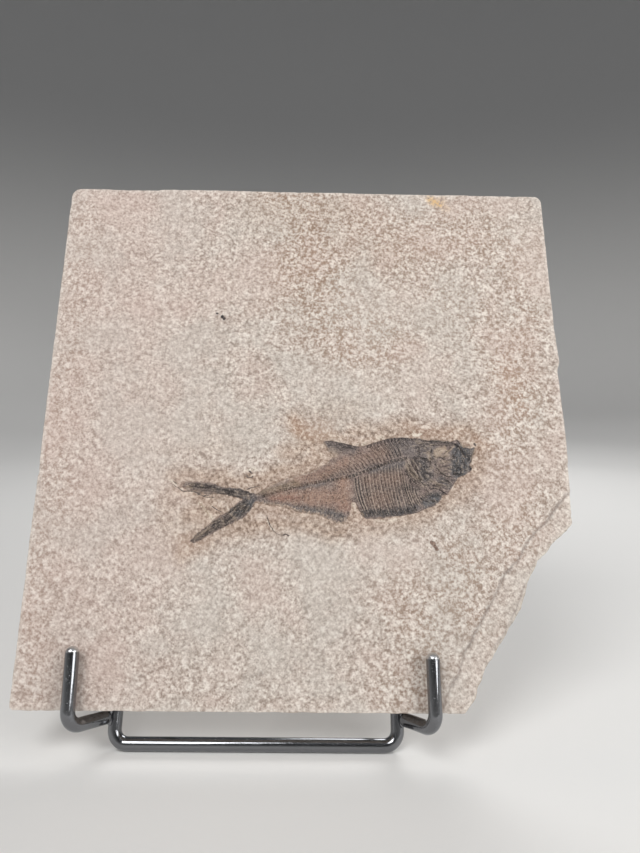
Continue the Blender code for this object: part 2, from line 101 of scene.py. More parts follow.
# %% [markdown]
# ## Shader maths as plain sums
#
# A material is a graph of nodes, and a graph of thirty nodes is hard to read. So one small
# class wraps an output socket: adding, multiplying or subtracting wrapped sockets makes the
# Math nodes. One method makes any other node, from its type, its settings and its sockets,
# and colours are laid over each other in layers, as a painter would.

# %% A socket that can be reckoned with
MIX_MASK, MIX_UNDER, MIX_OVER = 0, 6, 7         # a Mix node's sockets, where it mixes colours
MIX_RESULT = 2


class Value:
    """An output socket of a material's node tree."""

    def __init__(self, socket):
        self.socket = socket
        self.tree = socket.id_data

    def node(self, kind, settings=None, sockets=None, output=0):
        """Add a node to the tree. A ramp's stops are a setting: (level, colour) pairs."""
        made = self.tree.nodes.new("ShaderNode" + kind)
        for name, setting in (settings or {}).items():
            if name == "stops":
                ramp = made.color_ramp
                while len(ramp.elements) < len(setting):
                    ramp.elements.new(0.5)
                for element, (level, shade) in zip(ramp.elements, setting):
                    element.position = level
                    element.color = shade
            else:
                setattr(made, name, setting)
        for name, value in (sockets or {}).items():
            if isinstance(value, Value):
                self.tree.links.new(value.socket, made.inputs[name])
            else:
                made.inputs[name].default_value = value
        return Value(made.outputs[output])

    def maths(self, operation, *values):
        """A Math node over some values, wrapped or plain."""
        return self.node("Math", {"operation": operation}, dict(enumerate(values)))

    def __add__(self, other):
        return self.maths("ADD", self, other)

    def __radd__(self, other):
        return self.maths("ADD", other, self)

    def __sub__(self, other):
        return self.maths("SUBTRACT", self, other)

    def __rsub__(self, other):
        return self.maths("SUBTRACT", other, self)

    def __mul__(self, other):
        return self.maths("MULTIPLY", self, other)

    def __rmul__(self, other):
        return self.maths("MULTIPLY", other, self)

    def between(self, start, end):
        """0 below start, 1 above end and a soft step between, or the other way about."""
        settings = {"interpolation_type": "SMOOTHSTEP"}
        sockets = {"Value": self, "From Min": start, "From Max": end}
        if start > end:
            sockets = {"Value": self, "From Min": end, "From Max": start,
                       "To Min": 1.0, "To Max": 0.0}
        return self.node("MapRange", settings, sockets)

    def blotches(self, size, detail=2.0, roughness=0.5):
        """Noise whose lumps are about size across; self is the place."""
        return self.node("TexNoise", None, {"Vector": self, "Scale": 1.0 / size,
                                            "Detail": detail, "Roughness": roughness})

    def ramp(self, *stops):
        """The colour that a ramp gives for this level."""
        return self.node("ValToRGB", {"stops": stops}, {"Fac": self})

    def over(self, other, mask):
        """This colour with another laid over it where the mask is 1."""
        return self.node("Mix", {"data_type": "RGBA"},
                         {MIX_MASK: mask, MIX_UNDER: self, MIX_OVER: other}, MIX_RESULT)

    def layered(self, *layers):
        """This colour under several layers, each the (red, green, blue) of a screen and a mask."""
        made = self
        for shade, mask in layers:
            made = made.over(colour(*shade), mask)
        return made


print("a Value can", ", ".join(name for name in vars(Value) if not name.startswith("_")))

# %% Colours, materials and bumps
def colour(red, green, blue):
    """A colour given as 0 to 255 on a screen, as the linear one that a shader takes."""
    linear = []
    for level in (red, green, blue):
        share = level / 255
        linear.append(share / 12.92 if share <= 0.04045 else ((share + 0.055) / 1.055) ** 2.4)
    return (*linear, 1.0)


def new_material(name):
    """A material, its shader node, and a function that reads a mesh attribute by name."""
    made = bpy.data.materials.new(name)
    made.use_nodes = True
    shader = made.node_tree.nodes["Principled BSDF"]

    def attribute(title, output="Fac"):
        settings = {"attribute_name": title}
        return Value(shader.outputs["BSDF"]).node("Attribute", settings, None, output)

    return made, shader, attribute


def feed(shader, **inputs):
    """Link or set a shader's sockets; Base_Color stands for Base Color."""
    for name, value in inputs.items():
        socket = shader.inputs[name.replace("_", " ")]
        if isinstance(value, Value):
            value.tree.links.new(value.socket, socket)
        else:
            socket.default_value = value


def bump(height, distance, strength=1.0):
    """A Normal from a height; a height of 1 stands for the distance, in metres."""
    sockets = {"Height": height, "Distance": distance, "Strength": strength}
    return height.node("Bump", None, sockets)


print("colour(128, 128, 128) is", [round(c, 3) for c in colour(128, 128, 128)])

# %% [markdown]
# ## Distances do most of the shaping
#
# How far is a point from the slab's edge, from the fish, from a crack? Nearly every form here
# is a height worked out from such a distance, for tens of thousands of points at once, so the
# distances are worked out with arrays.

# %% Distances and soft steps for arrays
def soft(start, end, values):
    """0 below start, 1 above end, with a soft step between."""
    share = np.clip((values - start) / (end - start), 0.0, 1.0)
    return share * share * (3 - 2 * share)


def corners_of(path, closed):
    """The corners of a path as an array; a closed one ends where it starts."""
    corners = np.asarray(path, float)
    return np.vstack((corners, corners[:1])) if closed else corners


def to_path(points, path, closed=False):
    """The distance of each point to a path, and its side (left is positive)."""
    corners = corners_of(path, closed)
    runs = np.diff(corners, axis=0)
    best = np.full(len(points), np.inf)
    side = np.zeros(len(points))
    for start, run, length in zip(corners, runs, np.hypot(*runs.T)):
        if length == 0:
            continue
        away = points - start
        along = np.clip(away @ run / length**2, 0.0, 1.0)
        apart = np.hypot(*(away - along[:, None] * run).T)
        nearer = apart < best
        best[nearer] = apart[nearer]
        side[nearer] = (run[0] * away[:, 1] - run[1] * away[:, 0])[nearer]
    return best, side


def within(points, outline):
    """Whether each point is inside a closed outline."""
    inside = np.zeros(len(points), bool)
    corners = np.asarray(outline, float)
    for (u0, v0), (u1, v1) in zip(corners, np.roll(corners, -1, axis=0)):
        if v0 == v1:
            continue
        crosses = (v0 > points[:, 1]) != (v1 > points[:, 1])
        reach = u0 + (points[:, 1] - v0) / (v1 - v0) * (u1 - u0)
        inside ^= crosses & (points[:, 0] < reach)
    return inside


def depth_in(points, outline):
    """The distance to an outline, positive inside it and negative outside."""
    apart = to_path(points, outline, closed=True)[0]
    return np.where(within(points, outline), apart, -apart)


SQUARE = [(0, 0), (1, 0), (1, 1), (0, 1)]
print("one unit out of a square:", depth_in(np.array([[2.0, 0.5]]), SQUARE))

# %% Noise, and directions along a path
def lumps(points, size, seed=0.0):
    """Smooth noise between -1 and 1 at each point, with lumps about size across."""
    flat = points.shape[1] == 2
    return np.array([
        noise.noise(Vector((p[0] / size, p[1] / size, seed if flat else p[2] / size + seed)))
        for p in points
    ])


def walked(path, step, closed=False):
    """A path with a point about every step, so that it can bend."""
    corners = corners_of(path, closed)
    lengths = np.hypot(*np.diff(corners, axis=0).T)
    gone = np.concatenate(((0.0,), np.cumsum(lengths)))
    count = max(2, round(gone[-1] / step))
    places = np.linspace(0, gone[-1], count + 1)
    if closed:
        places = places[:-1]
    return np.column_stack([np.interp(places, gone, corners[:, axis]) for axis in (0, 1)])


def rightwards(runs):
    """The unit direction to the right of each run."""
    runs = runs / np.hypot(*runs.T)[:, None]
    return np.column_stack((runs[:, 1], -runs[:, 0]))


def outwards(outline):
    """The unit direction out of a closed outline that runs anticlockwise, at each point."""
    return rightwards(np.roll(outline, -1, axis=0) - np.roll(outline, 1, axis=0))


print("a square in steps of half:", walked(SQUARE, 0.5, closed=True).tolist())

# %% [markdown]
# ## The slab's outline
#
# Three sides of the slab were sawn and one corner broke away. The outline is the frame's own
# one, corner for corner; the bends come from one function that also bends the wire. A sawn
# edge wanders by a tenth of a millimetre and a broken one by much more, so the outline is
# walked in short steps and each step is pushed in or out by noise.

# %% Bends, and the outline in short steps
BEND_STEP = math.radians(8)


def bent(corners, closed=False):
    """Turn rows of (corner, bend radius) into a path whose bends are arcs."""
    path = []
    for i, (corner, radius) in enumerate(corners):
        at = Vector(corner)
        if radius == 0 or (not closed and i in (0, len(corners) - 1)):
            path.append(at)
            continue
        before = (Vector(corners[i - 1][0]) - at).normalized()
        after = (Vector(corners[(i + 1) % len(corners)][0]) - at).normalized()
        turn = math.pi - before.angle(after)
        centre = at + (before + after).normalized() * radius / math.cos(turn / 2)
        start = at + before * radius * math.tan(turn / 2) - centre
        across = (-before - start * (-before).dot(start) / start.length_squared).normalized()
        steps = max(2, round(turn / BEND_STEP))
        for count in range(steps + 1):
            angle = turn * count / steps
            path.append(centre + start * math.cos(angle) + across * radius * math.sin(angle))
    return path


print("a corner of radius 1 becomes", len(bent([((0, 2), 0), ((0, 0), 1), ((2, 0), 0)])), "points")

# %% The slab's outline
SLAB_OUTLINE = [
    (-98.4, 0.0, 1.5), (51.0, 0.0, 1.0),
    (55.0, 5.0, 0), (57.0, 10.0, 0), (60.0, 16.0, 0), (66.0, 24.0, 0), (68.0, 27.0, 0),
    (72.5, 33.0, 0), (73.6, 37.0, 0), (76.0, 43.0, 0), (80.0, 50.0, 0), (82.6, 52.0, 0),
    (86.0, 56.0, 0), (90.0, 59.6, 0), (93.6, 63.4, 0.5),
    (93.9, 95.0, 0), (93.6, 123.0, 0), (94.5, 125.0, 0), (94.4, 131.0, 0), (93.9, 140.0, 0),
    (94.0, SLAB_HIGH, 3.0), (-64.0, SLAB_HIGH, 0), (-67.0, SLAB_HIGH - 0.5, 0),
    (-102.1, SLAB_HIGH - 0.3, 3.6),
]
EDGE_STEP = 0.9
TOP_INSET = 0.2                         # keeps the top edge inside the frame's box

edge = np.array(bent([((u, v), radius) for u, v, radius in SLAB_OUTLINE], closed=True))
edge = walked(edge, EDGE_STEP, closed=True)
broken = soft(50.0, 56.0, edge[:, 0]) * soft(66.0, 60.0, edge[:, 1])
wander = lumps(edge, 5.0) + 0.6 * lumps(edge, 1.8, 4.0)
push = np.minimum(wander * (0.16 + 0.35 * broken) - 0.06, 0.25 * broken)
push -= TOP_INSET * soft(SLAB_HIGH - 3, SLAB_HIGH - 2, edge[:, 1])
edge += outwards(edge) * push[:, None]
print(f"{len(edge)} steps round the slab, {broken.sum() * EDGE_STEP:.0f} mm of them broken")

# %% [markdown]
# ## The fish's outline and the lines in the rock
#
# The same outline shapes three things: the pit in the rock under the fish, the rock pared
# down round it, and the fish itself. Nothing in it is smooth, so every distance to it is
# measured from a place that noise has first shaken a little. The tail's border has crumbled
# most of all, so there a second, finer noise moves it in and out.

# %% Outlines that the relief is measured from
HEAD_UNDER = [
    (55.2, 90.9), (57.2, 90.8), (59.6, 91.1), (58.4, 86.8), (57.3, 84.4), (57.9, 82.9),
    (57.3, 81.6), (55.6, 80.7), (52.8, 79.5), (51.2, 77.2), (49.4, 74.6), (48.6, 73.0),
    (46.4, 73.0), (45.6, 70.6), (43.6, 69.0),
]
BELLY = [
    (40.0, 67.6), (36.2, 66.0), (31.0, 65.0), (26.0, 64.6), (22.0, 63.9), (19.6, 63.8),
    (17.6, 64.6), (16.3, 67.2), (15.0, 69.7), (13.6, 69.6),
]
ANAL_FIN = [
    (13.4, 67.0), (12.6, 64.7), (11.2, 62.2), (8.8, 61.9), (6.0, 63.3), (2.0, 64.9),
    (-5.0, 66.0), (-12.0, 68.0), (-20.6, 69.0),
]
TAIL = [
    (-22.4, 66.8), (-24.2, 64.8), (-26.8, 63.0), (-29.0, 61.8), (-31.6, 60.6), (-34.0, 59.2),
    (-37.0, 57.5), (-41.8, 54.7), (-43.3, 55.4), (-41.0, 58.0), (-38.0, 60.2), (-35.8, 62.6),
    (-32.6, 64.9), (-30.0, 65.6), (-28.6, 68.2), (-24.6, 70.6), (-28.0, 71.2), (-33.0, 72.4),
    (-39.0, 72.9), (-44.6, 73.7), (-47.4, 75.0), (-45.8, 76.5), (-38.0, 76.3), (-33.4, 74.6),
    (-26.0, 74.2), (-22.6, 73.0), (-20.4, 72.5),
]
BACK = [
    (-17.0, 75.0), (-10.0, 78.4), (-4.0, 80.2), (0.0, 81.8), (4.0, 84.0), (7.2, 87.0),
]
DORSAL_FIN = [
    (4.8, 88.6), (3.2, 92.5), (6.0, 92.9), (11.0, 92.0), (15.4, 90.8),
]
NAPE = [
    (18.0, 90.8), (22.0, 92.3), (28.0, 94.1), (33.0, 94.5), (38.2, 94.2), (41.0, 93.3),
    (46.0, 93.5), (50.4, 93.1), (52.8, 93.9), (54.0, 92.4),
]
FISH_OUTLINE = HEAD_UNDER + BELLY + ANAL_FIN + TAIL + BACK + DORSAL_FIN + NAPE
SHELF_LINE = [
    (41.0, -3.0), (46.0, 8.0), (49.0, 12.0), (51.5, 19.0), (55.0, 24.7), (57.0, 28.0),
    (62.0, 36.0), (67.0, 45.0), (72.5, 50.5), (76.5, 57.0), (79.0, 60.0), (82.7, 62.7),
    (85.5, 66.5), (89.5, 71.0), (98.0, 80.0),
]
FLAKE_LINE = [
    (58.0, 9.0), (60.0, 15.5), (62.4, 20.4), (66.2, 26.0), (69.0, 30.5), (71.4, 35.0),
    (74.2, 41.5), (78.0, 48.0),
]
print("the fish's outline has", len(FISH_OUTLINE), "corners")

# %% Distances from shaken places
SHAKE = 0.3
CRUMBLE = 0.45                          # how far the tail's border goes in and out
TAIL_WIDER, UPPER_LOBE_WIDER = 0.2, 0.25


def shaken(points, reach=SHAKE, size=1.3):
    """The points, each moved a little by noise."""
    moves = np.column_stack((lumps(points, size, 1.5), lumps(points, size, 8.5)))
    return points + reach * moves


def into_fish(points):
    """How far inside the fish's outline each point is, and below zero how far outside."""
    tail = soft(-21.0, -24.0, points[:, 0])
    upper = soft(-30.0, -36.0, points[:, 0]) * soft(70.0, 72.0, points[:, 1])
    crumbled = tail * (TAIL_WIDER + CRUMBLE * lumps(points, 0.75, 33.0))
    crumbled += UPPER_LOBE_WIDER * upper
    return depth_in(shaken(points), FISH_OUTLINE) + crumbled


def roughened(line):
    """A drawn line, walked and shaken so that it looks broken and not cut."""
    return shaken(walked(line, 1.0), 0.35, 2.4)


def past_line(points, line):
    """How far each point is on the right of a line that runs up, below zero on its left."""
    apart, side = to_path(points, line)
    return np.where(side < 0, apart, -apart)


ledge_line, flake_line = roughened(SHELF_LINE), roughened(FLAKE_LINE)
print("the fish's middle is", round(float(into_fish(np.array([[20.0, 75.0]]))[0]), 1), "mm in")

# %% [markdown]
# ## The slab's mesh
#
# The face is split stone: gently uneven, pitted, pared down round the fish, and a thin layer
# has flaked off along the break. A modifier could displace a flat sheet, but the ledge and
# the pared rock follow drawn lines, so each point's height is worked out in code.
#
# The points are a shaken grid, closer together round the fish, and Blender's own Delaunay
# triangulation joins them. The sides are rings of points that run round the outline, and the
# width of the worn edge changes along it, as it does where stone has chipped.

# %% Heights of the face
SHELF_DEEP = 0.8
FLAKE_DEEP = 0.9                        # below the shelf
HALO_DEEP = 0.35
HALO_WIDE = 6.0
PIT_DEEP = 1.1                          # the face under the fish, out of sight
LEDGE_WIDE = 0.22                       # half the width of a ledge's slope


def face_height(points):
    """How high the face stands at each point."""
    height = 0.22 * lumps(points, 16.0) + 0.06 * lumps(points, 3.4, 2.0)
    height += 0.045 * lumps(points, 1.3, 5.0)
    inside = into_fish(points)
    pared = soft(-HALO_WIDE - 1.5 * lumps(points, 7.0, 3.0), -0.6, inside)
    height -= HALO_DEEP * pared * (1 + 0.5 * lumps(points, 2.4, 6.0))
    height -= PIT_DEEP * soft(0.0, 0.9, inside)
    height -= SHELF_DEEP * soft(-LEDGE_WIDE, LEDGE_WIDE, past_line(points, ledge_line))
    height -= FLAKE_DEEP * soft(-LEDGE_WIDE, LEDGE_WIDE, past_line(points, flake_line))
    return height


probe = np.array([[-60.0, 40.0], [90.0, 62.0], [-18.0, 62.0]])
print("heights on the face, on the shelf and beside the tail:", face_height(probe).round(2))

# %% Sheets of triangles
FINE_STEP = 0.62
FACE_STEP = 1.15
BACK_STEP = 1.9
FINE_BOX = (-54.0, 66.0, 50.0, 99.0)    # u from, u to, v from, v to
ROW_SHARE = 0.87                        # rows are closer than points, as in even triangles
GRID_SHAKE = 0.22
LEDGE_STEP = 0.6
LEDGE_CLEAR = 0.55
KEEP_ALL, KEEP_INSIDE = 0, 1            # which triangles the Delaunay function returns
MERGE = 1e-6


def grid(box, step, clear_of=None):
    """Shaken points inside a box, and outside another one."""
    us = np.arange(box[0], box[1], step)
    vs = np.arange(box[2], box[3], step * ROW_SHARE)
    across, up = np.meshgrid(us, vs)
    across[::2] += step / 2
    points = np.column_stack((across.ravel(), up.ravel()))
    points += step * GRID_SHAKE * np.random.default_rng(7).uniform(-1, 1, points.shape)
    if clear_of:
        (u, v), (u0, u1, v0, v1) = points.T, clear_of
        points = points[~((u > u0) & (u < u1) & (v > v0) & (v < v1))]
    return points


def triangles(points, ring=0, longest=math.inf):
    """Delaunay triangles over points, none with an edge over the longest.

    Where a ring is given, it is the first so many points, and the edge of the sheet."""
    outline = [list(range(ring))] if ring else []
    made = delaunay_2d_cdt([Vector(p) for p in points], [], outline,
                           KEEP_INSIDE if ring else KEEP_ALL, MERGE)
    assert len(made[0]) == len(points), "two points of a sheet were merged"
    corners = np.array(made[2])
    spans = points[corners] - points[np.roll(corners, -1, axis=1)]
    return [tuple(face) for face in corners[np.hypot(*spans.T).max(axis=0) < longest]]


def along_ledges(fill):
    """The filling points with two close rows in place of those that are near a ledge."""
    for line in (ledge_line, flake_line):
        fill = fill[to_path(fill, line)[0] > LEDGE_CLEAR]
        middle = walked(line, LEDGE_STEP)
        right = rightwards(np.gradient(middle, axis=0))
        fill = np.vstack((fill, middle - right * LEDGE_WIDE, middle + right * LEDGE_WIDE))
    return fill


def sheet_points(ring, fill, clear):
    """The ring and those filling points that keep clear of it."""
    return np.vstack((ring, fill[depth_in(fill, ring) > clear]))


print("a square of four points takes", len(triangles(np.array(SQUARE, float))), "triangles")

# %% The front sheet and the back sheet
BACK_WORN = 0.5
FLAKED_LAYERS = (                       # (noise level, seed) of thin layers gone from the back
    (0.05, 23.0), (0.22, 24.0), (0.38, 25.0),
)

chip = soft(0.25, 0.75, lumps(edge, 2.6, 11.0)) * soft(-0.2, 0.5, lumps(edge, 14.0, 12.0))
worn = 0.4 + 0.18 * lumps(edge, 1.6, 13.0) + 0.9 * chip + 0.35 * broken
out = outwards(edge)
whole = (edge[:, 0].min(), edge[:, 0].max(), 0.0, SLAB_HIGH)
fill = np.vstack((grid(whole, FACE_STEP, FINE_BOX), grid(FINE_BOX, FINE_STEP)))
front = sheet_points(edge - out * worn[:, None], along_ledges(fill), FACE_STEP * 0.6)
back = sheet_points(edge - out * BACK_WORN, grid(whole, BACK_STEP), BACK_STEP * 0.6)
front_w = face_height(front)
back_w = -SLAB_THICK + 0.20 * lumps(back, 18.0, 21.0) + 0.10 * lumps(back, 4.0, 22.0) + 0.15
for level, seed in FLAKED_LAYERS:
    back_w += 0.16 * soft(level - 0.02, level + 0.02, lumps(shaken(back, 2.0, 5.0), 46.0, seed))
print(f"{len(front)} points in front and {len(back)} behind")

# %% The sides, and all in one mesh
SIDE_RINGS = 9

count = len(edge)
places = [np.column_stack((front, front_w))]
side_from = len(front)
rim_w = front_w[:count]
bottom_w = back_w[:count]
for ring in range(SIDE_RINGS + 1):
    if ring == 0:                       # halfway round the worn edge
        inset, w = worn * 0.28, rim_w - worn * 0.3
    else:
        share = (ring - 1) / (SIDE_RINGS - 1)
        w = rim_w - worn + (bottom_w + BACK_WORN - rim_w + worn) * share
        at = np.column_stack((edge, w))
        rough = 0.10 * lumps(at, 1.5, 31.0) + (0.12 + 0.5 * broken) * lumps(at, 3.2, 32.0)
        inset = np.maximum(0.06 + 0.15 * broken - rough, 0.0)
    places.append(np.column_stack((edge - out * inset[:, None], w)))
back_from = side_from + count * (SIDE_RINGS + 1)
places.append(np.column_stack((back, back_w)))
slab_places = np.vstack(places)

faces = triangles(front, count)
ring_starts = [0, *range(side_from, back_from, count), back_from]
for upper, lower in zip(ring_starts, ring_starts[1:]):
    for i in range(count):
        after = (i + 1) % count
        faces.append((upper + i, lower + i, lower + after, upper + after))
faces += [tuple(back_from + i for i in reversed(face)) for face in triangles(back, count)]
print(f"{len(slab_places)} points, {len(faces)} faces in the slab")

# %% [markdown]
# ## One way to finish a piece
#
# Every piece of stone and bone is made the same way: its points are turned into the frame's
# metres, its place on the slab's plane is kept as an attribute so that a material can measure
# in millimetres, and each mask is kept as an attribute beside it.

# %% From places and faces to a piece of the frame
def in_scene(name, data):
    """A new object in the scene, from a mesh, a light or a camera."""
    made = bpy.data.objects.new(name, data)
    bpy.context.scene.collection.objects.link(made)
    return made


def piece(name, places, faces, material, nodes, masks, plane=True):
    """A mesh that rides on the frame and stands for some of its nodes."""
    mesh = bpy.data.meshes.new(name)
    mesh.from_pydata(in_frame(places) if plane else np.asarray(places) * MM, [], faces)
    mesh.validate()
    mesh.shade_smooth()
    where = mesh.attributes.new("plane", "FLOAT_VECTOR", "POINT")
    where.data.foreach_set("vector", np.asarray(places, np.float32).ravel())
    for title, values in masks.items():
        layer = mesh.attributes.new(title, "FLOAT", "POINT")
        layer.data.foreach_set("value", np.asarray(values, np.float32))
    mesh.materials.append(material)
    made = in_scene(name, mesh)
    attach(made, "root")
    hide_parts(*nodes)


print("pieces are in metres; 10 mm up the face is", in_frame([(0, 10, 0)])[0].round(4))

# %% [markdown]
# ## Stains drawn as lines and patches
#
# Rock and bone take up iron and soot-black mineral in patches that follow cracks, bones and
# bedding. Noise alone would put them anywhere. So a stain here is a short list of drawn lines
# and patches, each with a width and a strength, and noise only frays its border.

# %% A mask from drawn lines and patches
def stained(points, marks, fray=0.5, size=2.0):
    """The strongest of several marks at each point: (strength, width, soft border, path).

    A mark with no width is a patch inside its path; the others are lines."""
    places = shaken(points, fray, size)
    mask = np.zeros(len(points))
    for strength, width, border, path in marks:
        if width:
            apart = to_path(places, path)[0] - width / 2
        else:
            apart = -depth_in(places, path)
        mask = np.maximum(mask, strength * soft(border, -border, apart))
    return mask


ACROSS = (1.0, 4.0, 0.5, [(0, 0), (10, 0)])
print("a line's mask on it, at its border and off it:",
      stained(np.array([[5.0, 0.0], [5.0, 2.0], [5.0, 4.0]]), [ACROSS], fray=0.0))

# %% The rock's stains
BROWN_MARKS = [                         # flecks crowd together here
    (1.0, 28, 12, [(-8, 196), (-2, 170), (-2, 150), (10, 138), (20, 134)]),
    (0.75, 26, 12, [(14, 186), (36, 176), (60, 184), (76, 176)]),
    (0.75, 20, 12, [(76, 176), (82, 150), (76, 128), (78, 106), (70, 92)]),
    (0.5, 30, 14, [(36, 156), (60, 150), (72, 132)]),
    (0.65, 16, 9, [(30, 38), (38, 26), (32, 8)]),
    (0.7, 14, 8, [(48, 52), (58, 44), (44, 40), (56, 30)]),
    (0.7, 12, 8, [(66, 62), (70, 54), (80, 70)]),
    (0.5, 12, 8, [(-94, 190), (-92, 110), (-96, 40), (-92, 6)]),
]
PALE_MARKS = [                          # and here they thin out
    (1.0, 18, 10, [(12, 148), (22, 140), (32, 150)]),
    (0.8, 16, 10, [(6, 118), (24, 112), (40, 118)]),
    (0.8, 18, 10, [(-10, 48), (14, 44), (28, 52)]),
    (0.6, 26, 14, [(-40, 50), (-30, 24), (0, 20)]),
    (0.7, 14, 10, [(80, 192), (90, 160)]),
    (0.5, 30, 16, [(-60, 120), (-40, 104), (-56, 86)]),
]
PINK_MARKS = [(1.0, 62, 26, [(-84, 200), (-80, 130), (-84, 60), (-86, 0)])]
HALO_MARKS = [                          # stained rock that the paring uncovered
    (1.0, 5, 4, [(-8, 101), (-5, 96), (0, 92), (2, 86)]),
    (0.9, 6, 4, [(-50, 79), (-38, 79), (-26, 76), (-18, 78), (-8, 82), (2, 86)]),
    (0.9, 6, 4, [(-46, 51), (-38, 55), (-30, 58), (-20, 62), (-4, 62), (10, 59)]),
    (0.7, 5, 4, [(10, 60), (24, 60), (38, 64), (50, 70), (60, 80), (63, 92)]),
    (0.8, 5, 4, [(14, 96), (30, 99), (44, 97), (58, 97), (63, 92)]),
    (0.9, 9, 4, [(-42, 72), (-34, 67), (-44, 64), (-36, 62)]),
    (0.5, 8, 5, [(-51, 73), (-51, 63), (-48, 56)]),
    (0.25, 6, 5, [(-46, 88), (-30, 90)]),
    (0.8, 6, 4, [(-10, 88), (-2, 91)]),
    (0.35, 8, 6, [(0, 103), (8, 104), (14, 104)]),
    (0.35, 16, 12, [(-24, 192), (14, 192)]),
    (0.22, 22, 12, [(10, 180), (28, 172)]),
    (0.2, 14, 10, [(-8, 164), (-4, 152)]),
    (1.0, 3, 2, [(14.4, 69.0), (14.8, 64.0)]),
]
RUST_MARKS = [
    (0.6, 6.5, 4.5, [(-6, 97.6), (-2, 96.4), (4, 96.6)]),
    (0.35, 5, 4, [(-46, 55), (-40, 54)]),
    (0.3, 4, 3, [(60, 95), (63, 91)]),
    (0.3, 4, 3, [(34, 97), (47, 96), (56, 96)]),
    (0.35, 8, 5, [(72, 122), (78, 108)]),
]
YELLOW_MARKS = [(1.0, 2.6, 1.6, [(47, 199.6), (48.6, 197.4), (51, 196)]),
                (0.6, 2.0, 2.0, [(52, 199), (53, 194)])]
DARK_MARKS = [
    (0.35, 1.8, 0.8, [(42.0, 55.6), (43.4, 54.2), (44.2, 53.0)]),
    (0.6, 0.8, 0.4, [(-91.4, 148), (-90.6, 148)]),
    (0.5, 0.6, 0.4, [(-88, 196.8), (-87.6, 196.8)]),
    (0.7, 0.6, 0.4, [(-16.8, 12), (-16.2, 12)]),
    (0.5, 0.7, 0.6, [(19, 75), (19.5, 75)]),
]
CHALK_MARKS = [                         # specks and scratches of white rock
    (0.6, 0.8, 0.5, [(14.3, 69.2), (14.7, 68.4)]),
    (0.6, 0.6, 0.4, [(14.9, 66.9), (15.6, 65.8)]),
    (0.5, 0.6, 0.5, [(14.0, 64.9), (15.2, 64.3)]),
    (0.9, 0.9, 0.5, [(36.8, 96.6), (36.7, 95.4), (38.2, 95.2), (39.6, 96.1)]),
    (0.8, 0.9, 0.5, [(-23.8, 81.4), (-22.0, 81.9), (-21.4, 81.3)]),
    (0.6, 0.8, 0.6, [(24.0, 94.0), (25.4, 94.3)]),
    (0.6, 0.8, 0.5, [(16.0, 91.4), (19.2, 91.7)]),
    (1.0, 0.5, 0.35, [(-41.0, 69.2), (-39.6, 67.5), (-38.2, 66.0), (-36.8, 64.4)]),
    (0.9, 0.4, 0.3, [(-37.2, 64.2), (-35.8, 63.3), (-34.4, 62.2)]),
    (0.8, 0.35, 0.3, [(-31.8, 68.3), (-30.8, 67.2), (-29.9, 66.4)]),
    (0.9, 0.4, 0.3, [(-51.9, 77.0), (-50.4, 75.9), (-48.8, 74.6), (-47.4, 73.7)]),
    (0.9, 0.4, 0.3, [(-16.4, 63.0), (-15.2, 60.9), (-14.0, 59.3)]),
    (0.5, 0.8, 0.6, [(22.0, 63.0), (30.0, 63.8)]),
]
print(len(BROWN_MARKS + PALE_MARKS), "patches of flecks,", len(HALO_MARKS), "stains round the fish")

# %% The rock's masks
flat = slab_places[:, :2]
on_face = np.zeros(len(slab_places))
on_face[:side_from] = 1.0
# Painted shade: a dark line along each ledge stands for the shadow on the step's face, broken up by
# noise.
ledge = np.zeros(len(flat))
for line in (ledge_line, flake_line):
    ledge = np.maximum(ledge, on_face * soft(0.7, 0.1, np.abs(past_line(flat, line) - 0.1)))
ledge *= 0.65 + 0.35 * soft(-0.35, 0.35, lumps(flat, 7.0, 47.0))
on_side = np.zeros(len(slab_places))
on_side[side_from:back_from] = 1.0
pared = on_face * soft(-HALO_WIDE, -1.5, into_fish(flat))
stone_masks = {
    "brown": stained(flat, BROWN_MARKS, 6.0, 18.0),
    "pale": stained(flat, PALE_MARKS, 6.0, 18.0),
    "pink": stained(flat, PINK_MARKS, 4.0, 20.0),
    "halo": on_face * np.maximum(0.75 * pared, stained(flat, HALO_MARKS, 2.0, 5.0)),
    "rust": on_face * stained(flat, RUST_MARKS, 2.0, 4.0),
    "yellow": on_face * stained(flat, YELLOW_MARKS, 1.4, 1.6),
    "chalk": on_face * stained(flat, CHALK_MARKS, 0.25, 0.9),
    "dark": on_face * stained(flat, DARK_MARKS, 0.2, 0.8),
    "shelf": on_face * soft(0.0, 0.3, past_line(flat, ledge_line)),
    "ledge": ledge,
    # painted highlight: the band round the face, the sides and the back are made paler, as edges
    # that catch the light
    "rim": 1 - on_face * soft(0.1, 1.6, depth_in(flat, edge)),
    "side": on_side,
}
print("share of the face that each mask covers:",
      {name: round(float(mask[:side_from].mean()), 3) for name, mask in stone_masks.items()})

# %% [markdown]
# ## Limestone
#
# The rock is a fine lime mud, packed with tiny pale grains and grey-brown flecks about a
# millimetre across. An image texture would give it in one step, but it would not fit
# the stains drawn above. Here three fields of noise, coarse to fine, are added to one level,
# and a ramp turns the level into fleck, mud or pale grain. Where the brown mask is strong the
# level swings wider, so the flecks crowd together and darken without a visible border.
#
# Noise has a grain of its own along the axes, and a flat face cuts straight through it, so
# the places are first turned to an odd angle.

